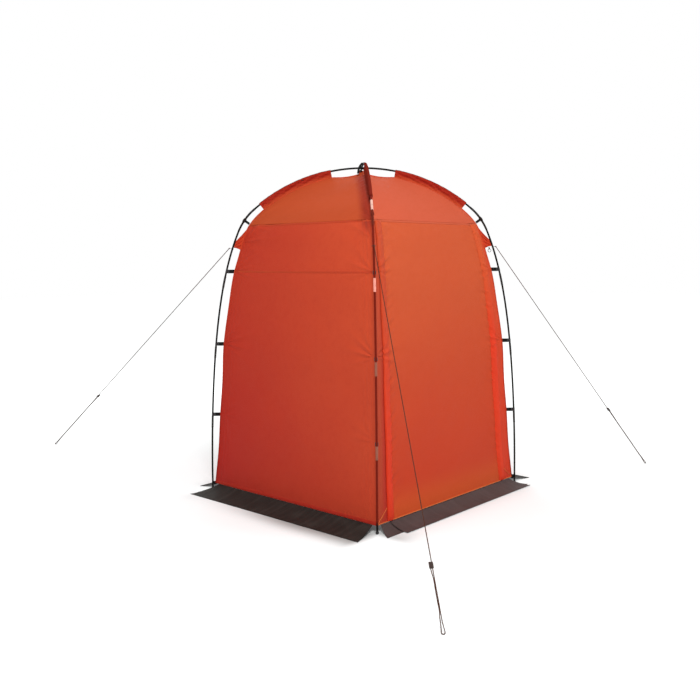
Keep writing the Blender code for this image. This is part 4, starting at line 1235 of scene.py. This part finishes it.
# %% Slider pulls
pull_length, pull_width, pull_thickness = 0.030, 0.007, 0.0014
out, down = unit([0, -1, 0.06]), unit([0, -0.06, -1])
turn = np.arange(28) * 2 * math.pi / 28
straight = np.sign(np.cos(turn)) * (pull_length / 2 - pull_width / 2)
for label, _ in sides_of_door:
    low, high = (np.array(corner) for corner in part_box(f"zip_slider_{label}"))
    top = np.array([(low[0] + high[0]) / 2, low[1] + 0.0012, high[2] - 0.004])
    rings = []
    for depth, share in ((-0.5, 0.86), (-0.42, 1), (0.42, 1), (0.5, 0.86)):
        ring = np.outer(straight + pull_width / 2 * share * np.cos(turn), down)
        ring += np.outer(pull_width / 2 * share * np.sin(turn), [1, 0, 0])
        rings.append(top + down * pull_length / 2 + out * pull_thickness * (depth - 0.8) + ring)
    make(f"zip_pull_{label}", patch(np.array(rings), wrap=True, caps=True), ring_metal, f"slider_{label}",
         smooth=40)
print("pulls", pull_length, "m long")

# %% [markdown]
# ## Seams, hems and piping
# A felled seam is a raised double strip, about 12 mm wide, with two rows of stitches. Such strips
# cover the level seams of the walls and the shoulder, and a round binding runs up each corner. The
# door's hem and the jambs' hems are piped in pale orange.

# %% Stitched strips
seam_width, seam_proud, hem_band_width = 0.012, 0.0011, 0.022
upper_height, strip_gap = shoulder_height - 0.006, 0.004


def level_strip(name, wall, height, half, width, lift, count, material, below=0.5):
    """A strip that runs level across a wall, with its edges pressed down to the cloth."""
    x = np.linspace(-half, half, count)[:, None]
    across = np.linspace(-0.5, 0.5, 9)[None, :]
    share = share_at(height) + (across - 0.5 + below) * width / seam_length[-1]
    raised = lift * (1 - (2 * np.abs(across)) ** 6) + 0.0002
    points = on_wall(wall, x, np.clip(share, 0, shoulder_share), raised)
    make(name, cloth_patch(points, across * width, x), material)


for wall in ("left", "back", "right"):
    for label, height in (("upper", upper_height), ("middle", clip_heights[2])):
        level_strip(f"seam_{label}_{wall}", wall, height, half_at(height) - strip_gap, seam_width, seam_proud,
                    160, seam_strip)
    level_strip(f"hem_band_{wall}", wall, hem_height, hem_half_side - 0.006, hem_band_width, 0.0014, 170,
                hem_strip, 1.0)
level_strip("seam_upper_front", "front", upper_height, shoulder_half - strip_gap, seam_width, 0.0028, 160,
            door_strip)
print("strips", seam_width, "m wide")

# %% [markdown]
# A bound corner is a soft round bead. It follows the corner seam from the hem to the peak in the
# upright plane of the pole, slightly outside the two walls that it joins.

# %% Corner bindings and piping
binding_radius, binding_outside, piping_share, slant_start = 0.0030, 0.0008, 0.002, 0.004
half, height, outward = seam_at(np.linspace(0, 0.992, 260))
lean = unit(outward * [root_two, 1])
swell = binding_radius * (1 + 0.10 * np.sin(np.arange(260) * 1.9) * np.sin(np.arange(260) * 0.37))
for corner in corners:
    line = in_plane(corner, half * root_two + lean[:, 0] * binding_outside,
                    height + lean[:, 1] * binding_outside)
    make(f"corner_binding_{corner}", tube(line, plane_normal(corner), swell), seam_cloth)


def front_tube(name, x, share, lift, radius, body="tent"):
    """A round piping on the door wall along points given by x and share."""
    line = on_door(x, share + x * 0, lift)
    ways = unit(np.gradient(line, axis=0))
    sides = unit(np.cross(ways, [0, -1, 0.08]))
    piping = rod(line, sides, np.cross(sides, ways), circle(np.full(len(line), radius), 10), 0.01)
    make(name, piping, piping_cloth, body)


door_low = float(door_half(piping_share))
front_tube("piping_door", np.linspace(-door_low, door_low, 200), piping_share, 0.002, 0.0024, "door")
for label, side in sides_of_door:
    outer, inner = hem_half_side - 0.004, hem_half_side - jamb_foot_width
    front_tube(f"piping_jamb_{label}", side * np.linspace(outer, inner, 40), piping_share, 0.002, 0.0022)
    front_tube(f"piping_slant_{label}", side * np.linspace(outer - 0.004, inner + 0.006, 40),
               np.linspace(slant_start, 0.034, 40), 0.0016, 0.0016)
print("door's hem", round(2 * door_low, 3), "m")

# %% [markdown]
# ## Straps and clips
# At three heights a strap joins each corner seam to its pole. The strap is a doubled tape, and it
# ends in a moulded clip that snaps round the pole: an open ring seen from above. Another strap
# loops round the elbow, and a tab at the hem reaches the foot of the pole.

# %% Straps and clips
strap_height, strap_thickness, strap_twist = 0.025, 0.0020, 0.0010
clip_tall, clip_inner, clip_outer, clip_opening, clip_chamfer = 0.022, 0.0066, 0.0094, 0.9, 0.0008
loop_skins, loop_tail, loop_width = ((0.0076, 0.0014), (0.0090, 0.0026)), 0.040, 0.016


def strap(corner, low, high, height, count=24):
    """A flat strap between two points of a corner's plane, given as reach and height."""
    low, high = np.array(low), np.array(high)
    share = np.linspace(0, 1, count)[:, None]
    line, way = low + share * (high - low), unit(high - low)
    wide, thick = rounded(16, 0.35)
    wide, thick = wide * height / 2, thick * strap_thickness / 2
    grid = in_plane(corner, line[:, :1] - wide * way[1], line[:, 1:] + wide * way[0],
                    thick + strap_twist * hump(share))
    return patch(grid, lengthwise(line, [*wide, wide[0]]), wrap=True, caps=True)


def clip_ring(corner, height):
    """A C-shaped clip round the pole: an arc of a ring, open on its outer side."""
    lean = math.atan(leg_slope(height))
    turn = np.linspace(clip_opening, 2 * math.pi - clip_opening, 33)[:, None]
    radius, level = np.array([
        (clip_inner, -0.5), (clip_inner, 0.5), (clip_outer - clip_chamfer, 0.5), (clip_outer, 0.42),
        (clip_outer, -0.42), (clip_outer - clip_chamfer, -0.5),
    ]).T
    out, up = radius * np.cos(turn), level * clip_tall
    grid = in_plane(corner, leg_reach(height) + math.cos(lean) * out - math.sin(lean) * up,
                    height + math.sin(lean) * out + math.cos(lean) * up, radius * np.sin(turn))
    return patch(grid, wrap=True, caps=True)


def clip_neck(corner, height):
    """The block of the clip that holds the strap, between the open ring and the cloth."""
    share = np.linspace(0, 1, 7)[:, None]
    wide, deep = rounded(16, 0.5)
    grid = in_plane(corner, leg_reach(height) - 0.0075 - 0.012 * share,
                    height + (0.0110 - 0.0010 * share**2) * wide, (0.0034 - 0.0008 * share) * deep)
    return patch(grid, wrap=True, caps=True)


def elbow_loop(corner):
    """A tape loop round the bent elbow, with two tails that are sewn to the shoulder seam."""
    elbow = arch_lines(corner)[1]
    bend = len(elbow) // 2
    way = unit(elbow[bend + 1] - elbow[bend - 1])
    inward = np.array([-way[1], way[0]])
    turn = np.linspace(-2.5, 2.5, 29)
    skins = [np.concatenate([[(-loop_tail, -tail)], radius * np.stack([np.cos(turn), np.sin(turn)], axis=-1),
                             [(-loop_tail, tail)]]) for radius, tail in loop_skins]
    closed = np.concatenate([skins[0], skins[1][::-1]])
    rows = []
    for end in (-0.5, -0.46, 0.46, 0.5):
        at = elbow[bend] - inward * closed[:, :1] + way * end * loop_width
        rows.append(in_plane(corner, *at.T, closed[:, 1]))
    return patch(np.array(rows), wrap=True, caps=True)


for corner in corners:
    straps = [strap(corner, (half_at(height) * root_two - 0.004, height),
                    (leg_reach(height) - 0.0095, height), strap_height) for height in clip_heights]
    straps.append(strap(corner, (hem_half_side * root_two - 0.003, 0.046), (leg_reach(0.03) - 0.006, 0.042),
                        strap_height))
    make(f"corner_straps_{corner}", straps + [elbow_loop(corner)], strap_webbing,
         replaces=[f"corner_tape_{corner}"])
    clips = [part(corner, height) for part in (clip_ring, clip_neck) for height in clip_heights]
    make(f"pole_clips_{corner}", clips, black_plastic, smooth=40)
print(len(clips) // 2, "clips at each corner")

# %% [markdown]
# Below each elbow a doubled triangle of cloth, the gusset, reaches out to the pole. Its point holds
# the ring that the guy line is tied to, so its creases run from that point into the walls. Below
# the right gusset hangs one more ring, for tying the rolled door aside.

# %% Gussets, guy rings and tie ring
tie_ring_radius, tie_ring_wire, tie_ring_height, tie_ring_inside = 0.0105, 0.0030, 1.632, 0.030
ring_slack = 0.0008


def gusset_skin(corner, side):
    """One skin of the gusset: rows down the pole side, columns from the seam out to the pole."""
    down = np.linspace(0, 1, 40)[:, None]
    out = np.linspace(0, 1, 30)[None, :]
    seam_height, pole_height = 1.810 - 0.165 * down, 1.708 - 0.045 * down
    seam_reach = seam_at(share_at(seam_height))[0] * root_two - 0.003
    pole_side = leg_reach(pole_height) - pole_radius - 0.0012
    dip = -0.004 * hump(out) * (1 - 2 * down)
    height = seam_height + (pole_height - seam_height) * out + dip
    reach = seam_reach + (pole_side - seam_reach) * out
    swell = 0.0022 * hump(down) * hump(out) ** 0.6
    crease = 0.0036 * np.sin(9 * down * math.pi * (1 - 0.3 * out) + 2 * out) * out * (1 - out) * 4
    return in_plane(corner, reach, height, side * (0.0008 + swell) + crease)


def round_ring(middle, one, other, radius, wire, count):
    """A ring in the plane of two directions: a small circle carried round a big one."""
    turn = np.linspace(0, 2 * math.pi, count)[:, None]
    spokes = np.cos(turn) * one + np.sin(turn) * other
    wires = circle(np.full(count, wire / 2), 12)
    return patch(loft(middle + spokes * radius, spokes, np.cross(one, other), wires), wrap=True)


for corner in corners:
    loop = np.concatenate([gusset_skin(corner, -1), gusset_skin(corner, 1)[:, ::-1]], axis=1)
    metres = np.stack(np.meshgrid(np.linspace(0, 0.2, 61), np.linspace(0, 0.16, 40)), axis=-1)
    make(f"gusset_{corner}", patch(loop, metres, wrap=True, caps=True), gusset_cloth,
         smooth=60)
    middle, outward = guy_frame(corner)[4:]
    ring = round_ring(middle, outward, plane_normal(corner), ring_diameter / 2, ring_wire - ring_slack, 41)
    make(f"guy_ring_torus_{corner}", ring, ring_metal, replaces=[f"guy_ring_{corner}"])

reach = float(leg_reach(tie_ring_height)) - tie_ring_inside
ring = round_ring(in_plane("front_right", reach, tie_ring_height), in_plane("front_right", 1.0, 0.0),
                  np.array([0, 0, 1]), tie_ring_radius, tie_ring_wire, 37)
make("tie_ring", ring, black_plastic)
tie_tail = strap("front_right", (reach - 0.004, tie_ring_height + 0.022), (reach, tie_ring_height + 0.008),
                 0.008, 8)
make("tie_ring_loop", tie_tail, strap_webbing)
print("five rings made")

# %% [markdown]
# ## Pole sleeves
# Along the middle of each roof pole the cloth is sewn into a sleeve: a fold that comes up from the
# rib, goes round the pole and down again. Its section is a drop shape. The sleeve is a little too
# long for its pole, so it gathers into slanting creases.

# %% Pole sleeves
sleeve_pole_clear, sleeve_length, over_pole = 0.0098, 0.50, 0.30
sleeve_slumps = {"front_left": -0.008, "front_right": 0.006, "back_right": 0.006, "back_left": -0.006}


def sleeve_grid(corner, rows=170, columns=33):
    """Rows run along the pole, columns go up one layer, over the pole and down the other."""
    radius, centre = roof_circle(roof_top(corner))
    low, high = (share_at(rib_height(share * elbow_reach)) for share in (sleeve_end_share, sleeve_top_share))
    half, height, _ = seam_at(np.linspace(low, high, rows))
    spoke = np.stack([half * root_two, height - centre], axis=-1)
    away = unit(spoke)
    drop = (radius - np.linalg.norm(spoke, axis=-1))[:, None]
    q = np.linspace(-1, 1, columns)[None, :]
    legs = np.clip((np.abs(q) - over_pole) / (1 - over_pole), 0, 1)
    turn = np.clip(q / over_pole, -1, 1) * math.pi / 2
    over = np.abs(q) < over_pole
    lift = np.where(over, sleeve_pole_clear * np.cos(turn), -drop * legs)
    body = sleeve_pole_clear * (1 - legs**1.3) + 0.0012 * legs
    side = np.where(over, sleeve_pole_clear * np.sin(turn), np.sign(q) * body)
    along = np.linspace(0, 1, rows)[:, None]
    metres = along * sleeve_length
    sway = 1.6 * billow(metres, legs * 0.1, (0.23, 0.14), list(corners).index(corner) + 3)
    gather = (0.0034 * np.sin(2 * math.pi * (metres / 0.125 + 1.7 * legs) + sway)
              + 0.0014 * np.sin(2 * math.pi * (metres / 0.047 - 1.2 * legs) + 2 * sway))
    window = hump(legs) ** 0.7 * (0.65 + 0.35 * hump(along))
    slump = sleeve_slumps[corner] * hump(legs) ** 0.8 * hump(along) ** 0.4
    lift = lift + 0.0007 * np.abs(gather / 0.003) * (1 - legs)
    reach, level = away[:, :1] * (radius + lift), centre + away[:, 1:] * (radius + lift)
    return in_plane(corner, reach, level, side + gather * window + slump), metres, q * 0.07


for corner in corners:
    grid, metres, across = sleeve_grid(corner)
    middle = in_plane(corner, 0.45 * elbow_reach, roof_top(corner) - 0.06)
    # The front left sleeve is painted dark: painted shade.
    item = make(f"sleeve_{corner}", cloth_patch(grid, across, metres, middle),
                shaded_front_sleeve_cloth if corner == "front_left" else sleeve_cloth,
                thickness=0.0007, replaces=[f"pole_sleeve_{corner}"], smooth=70)
    declare_sheet(grid)

# %% [markdown]
# ## The crossing
# Where the two roof poles cross, a tape is wound round both. Its outline seen along the tape's width
# is a flat ring: two half circles joined by straight runs. Another tape holds the canopy's peak to
# the crossing: an arch whose points keep |x / span| ^ bow + |z / rise| ^ bow at 1.

# %% Crossing tie
tape_thickness, tape_width, tape_straight, tape_slant, tape_clear = 0.0015, 0.012, 0.007, 0.15, 0.0012
arch_span, arch_foot, arch_top, arch_bow = 0.050, 2.148, 2.2205, 1.7
arch_width, arch_thickness = 0.018, 0.0026


def flat_ring():
    """A ring of tape round both poles, as a closed outline carried round a flat ring."""
    low, high = apex_height - ferrule_radius, apex_height + crossing_rise + ferrule_radius
    turn = np.concatenate([np.linspace(0.5, -0.5, 16), np.linspace(-0.5, -1.5, 16)]) * math.pi
    shift = np.repeat([tape_straight, -tape_straight], 16)
    columns = []
    for deep, wide in ((0, -0.5), (0, 0.5), (1, 0.44), (1, -0.44)):
        radius = (high - low) / 2 + tape_clear + tape_thickness * deep
        x = shift + radius * np.cos(turn)
        z = (high + low) / 2 + radius * np.sin(turn)
        columns.append(np.stack([x, wide * tape_width + tape_slant * x, z], axis=-1))
    grid = np.stack(columns, axis=1)
    grid = np.concatenate([grid, grid[:1]])
    return patch(grid, lengthwise(grid[:, 0], [0, tape_width, tape_width, 0, 0]), wrap=True)


def peak_loop():
    """The tape that hangs the peak, as an arch over the crossing."""
    turn = np.linspace(0, math.pi, 41)
    x = arch_span * np.sign(np.cos(turn)) * np.abs(np.cos(turn)) ** (2 / arch_bow)
    z = arch_foot + (arch_top - arch_foot) * np.sin(turn) ** (2 / arch_bow)
    line, normal = np.stack([x, 0 * x, z], axis=-1), np.array([0, 1.0, 0])
    outline = np.array([(-0.5, -0.5), (0.5, -0.5), (0.5, 0.5), (-0.5, 0.5)]) * [arch_width, arch_thickness]
    grid = loft(line, normal, np.cross(unit(np.gradient(line, axis=0)), normal), outline)
    return patch(grid, lengthwise(line, [0, arch_width, arch_width, 0, 0]), wrap=True, caps=True)


wraps = [tube(line, normal, ferrule_radius + 0.0002 + 0.0003 * np.sin(np.arange(len(line)) * 2.1), 16)
         for line, normal in crossing_wraps]
make("crossing_binding", [flat_ring(), peak_loop(), *wraps], strap_webbing,
     replaces=["crossing_tie"])
print("crossing tied with", len(wraps), "wraps")

# %% [markdown]
# ## Ground skirts
# A skirt is sewn to the hem, falls to the ground in a short curve, and lies flat outside the tent.
# Its outer edge is a turned hem. It ripples slightly, but only upwards, because the ground stops it.
# The door has a skirt of its own, which lies over two short ones at the corners.

# %% Ground skirts
side_skirt_width, end_skirt_width, corner_skirt_width = 0.198, 0.140, 0.108
skirt_hem_end, skirt_flare, corner_skirt_flare = 0.700, 0.062, 0.070
door_skirt_left, door_skirt_right, door_skirt_lift = 0.627, 0.752, 0.0019
skirt_thickness, skirt_fall_power, hem_size = 0.0010, 2.2, np.array([0.007, 0.0024])


def skirt_grid(wall, hem_ends, far_ends, width, lift, drop, seed):
    """Rows run out from the hem. The height falls as a power of the share left to the outer edge."""
    out = np.linspace(0, 1, 34)[:, None]
    low, high = (hem + (far - hem) * out for hem, far in zip(hem_ends, far_ends))
    x = low + (high - low) * np.linspace(0, 1, 150)
    fall = hem_height - 0.0012 - lift - seam_gap - drop
    ripple = 0.5 + 0.5 * billow(x, out * 0.2, (0.37, 0.23, 0.14), seed)
    height = lift + skirt_thickness + 0.0002 + fall * (1 - out) ** skirt_fall_power
    height = height + 0.0042 * ripple * hump(out) ** 1.2 + 0.0010 * ripple * out
    height = height + puckers(x, out * width, 0.030, 0.030, 0.0012, 0.4, seed + 4) * (out > 0.02) * (1 - out)
    away = hem_half_side + seam_gap + out * width
    return turned(np.stack([x, -away + 0 * x, height], axis=-1), wall), x, out * width


def add_skirt(name, wall, hem_ends, far_ends, width, lift, drop, body, seed, node):
    # The door's skirts take the lighter copy and the others the darker one: painted sheen and painted shade.
    material = lit_skirt_cloth if wall == "front" else skirt_cloth
    grid, x, out = skirt_grid(wall, hem_ends, far_ends, width, lift, drop, seed)
    item = make(name, cloth_patch(grid, out, x, (0, 0, -1)), material, body,
                skirt_thickness, [node])
    declare_sheet(grid)
    up = np.array([0, 0, 1])
    outward = unit(np.cross(unit(np.gradient(grid[-1], axis=0)), up))
    bead = loft(grid[-1] + up * 0.0004, outward, up, circle(0.5, 10) * hem_size)
    bead[..., 2] = np.maximum(bead[..., 2], lift + 0.0002)
    hem = patch(bead, lengthwise(grid[-1], np.arange(11) * 0.002), wrap=True, caps=True)
    make(f"{name}_hem", hem, material, body)


far_end = skirt_hem_end + skirt_flare
plain_ends = (-skirt_hem_end, skirt_hem_end), (-far_end, far_end)
for wall, width in (("left", side_skirt_width), ("back", end_skirt_width), ("right", side_skirt_width)):
    add_skirt(f"ground_skirt_{wall}", wall, *plain_ends, width, 0, 0, f"skirt_{wall}",
              quarter_turns[wall] + 100, f"skirt_{wall}")
hem_door = float(door_half(0.0))
add_skirt("ground_skirt_door", "front", (-hem_door, hem_door), (-door_skirt_left, door_skirt_right),
          end_skirt_width, door_skirt_lift + 0.001, 0, "door_skirt", 131, "door_skirt")
inner = hem_door - 0.012
for label, side in sides_of_door:
    hem_ends = sorted((side * inner, side * skirt_hem_end))
    far_ends = sorted((side * inner, side * (skirt_hem_end + corner_skirt_flare)))
    add_skirt(f"ground_skirt_corner_{label}", "front", hem_ends, far_ends, corner_skirt_width, 0,
              door_skirt_lift, "tent", 140 + side, f"corner_skirt_{label}")

# %% [markdown]
# ## Floor and light
# The tent stands on a plain white floor in soft light, with a painted shadow round the skirts' edges.
# One lamp stands high over the front corner, so that its light grazes both walls and brings out
# their folds. Another comes from the right.
# Rays that go straight to the camera, or by way of a shiny surface, see a white world.

# %% Floor
floor_glow, floor_glow_near, world_light, floor_half = 0.60, 0.175, 0.50, 30.0
# The second colour is the floor's under the painted shadow round the skirts, the third number that shadow's
# reach in metres.
open_floor, shadow_floor_colour, floor_shadow_reach = (0.85, 0.885, 0.885), (0.42, 0.42, 0.41), 0.22


def seen(nodes):
    """1 where the camera looks, also by way of shiny or clear surfaces, and 0 for other light."""
    path = nodes.node("ShaderNodeLightPath")
    kinds = ("Camera", "Glossy", "Transmission")
    return sum(Number(nodes, path.outputs[f"Is {kind} Ray"]) for kind in kinds).clamped()


def beyond(x, y, half_x, half_y):
    """Distance from a place on the floor to a rectangle round the middle, 0 inside it."""
    past = [(abs(place) - half).math("MAXIMUM", 0.0) for place, half in ((x, half_x), (y, half_y))]
    return (past[0] * past[0] + past[1] * past[1]) ** 0.5


def floor_material():
    """White for the camera where it is fully lit, with a narrow painted shadow round the skirts' edges."""
    finish = Finish("floor", open_floor, 0.9, gloss=0.0)
    x, y, _ = finish.place()
    away = ((x * x + y * y) ** 0.5).smooth(1.2, 6.0)
    level = finish.mix(away, (floor_glow_near,) * 3, (floor_glow,) * 3)
    across = beyond(x, y, hem_half_side + side_skirt_width, far_end)
    along = beyond(x, y, far_end, hem_half_side + end_skirt_width)
    # A painted shadow round the skirts: a darker floor colour and no glow.
    painted_shade_rim = across.math("MINIMUM", along).smooth(floor_shadow_reach, 0.0) ** 2
    # The painted shadow is strongest beside the front part of the left skirt and is left out at the corners.
    nearest = (x * -1).smooth(0.50, 0.93) * (y * -1).smooth(-0.5, 0.3)
    notch = abs(x).math("MINIMUM", abs(y)).smooth(0.80, 0.72)
    painted_shade_rim = painted_shade_rim * notch * (nearest * 0.85 + 0.15)
    glow = finish.mix(seen(finish), (0, 0, 0), finish.mix(painted_shade_rim, level, (0, 0, 0)))
    for socket, value in (("Base Color", finish.mix(painted_shade_rim, open_floor, shadow_floor_colour)),
                          ("Emission Color", glow), ("Emission Strength", 1.0)):
        finish.feed(finish.shader.inputs[socket], value)
    return finish.material


steps = np.linspace(-floor_half, floor_half, 3)
floor_grid = np.stack(np.meshgrid(steps, steps, 0.0), axis=-1)[:, :, 0]
floor = make("floor", patch(floor_grid, inside=np.array([0, 0, -1])), floor_material())
floor.parent = None
del floor["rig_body"]
print("floor", 2 * floor_half, "m wide")

# %% Lights


def area_light(name, place, aim, size, power, mirrored=False):
    """A square soft light that looks from its place to an aim. Only a mirrored one shows in gloss."""
    data = bpy.data.lights.new(name, "AREA")
    data.size, data.energy = size, power
    item = bpy.data.objects.new(name, data)
    item.location, item.visible_glossy = place, mirrored
    item.rotation_euler = (Vector(aim) - Vector(place)).to_track_quat("-Z", "Y").to_euler()
    bpy.context.scene.collection.objects.link(item)


area_light("key", (3.6, -5.0, 4.2), (0, -0.3, 1.1), 2.4, 80, True)
area_light("fill", (-3.4, -3.4, 5.6), (-0.5, -0.5, 1.1), 1.6, 260)
area_light("back", (2.5, 5.0, 5.0), (0, 0, 1.0), 4.0, 150)
world = bpy.data.worlds.new("world")
world.use_nodes = True
bpy.context.scene.world = world
sky = Nodes(world.node_tree)
background = sky.tree.nodes["Background"]
sky.feed(background.inputs["Color"], (1, 1, 1, 1))
sky.feed(background.inputs["Strength"], seen(sky) * (1 - world_light) + world_light)
bpy.context.scene.view_settings.view_transform = "Standard"
print("world light", world_light)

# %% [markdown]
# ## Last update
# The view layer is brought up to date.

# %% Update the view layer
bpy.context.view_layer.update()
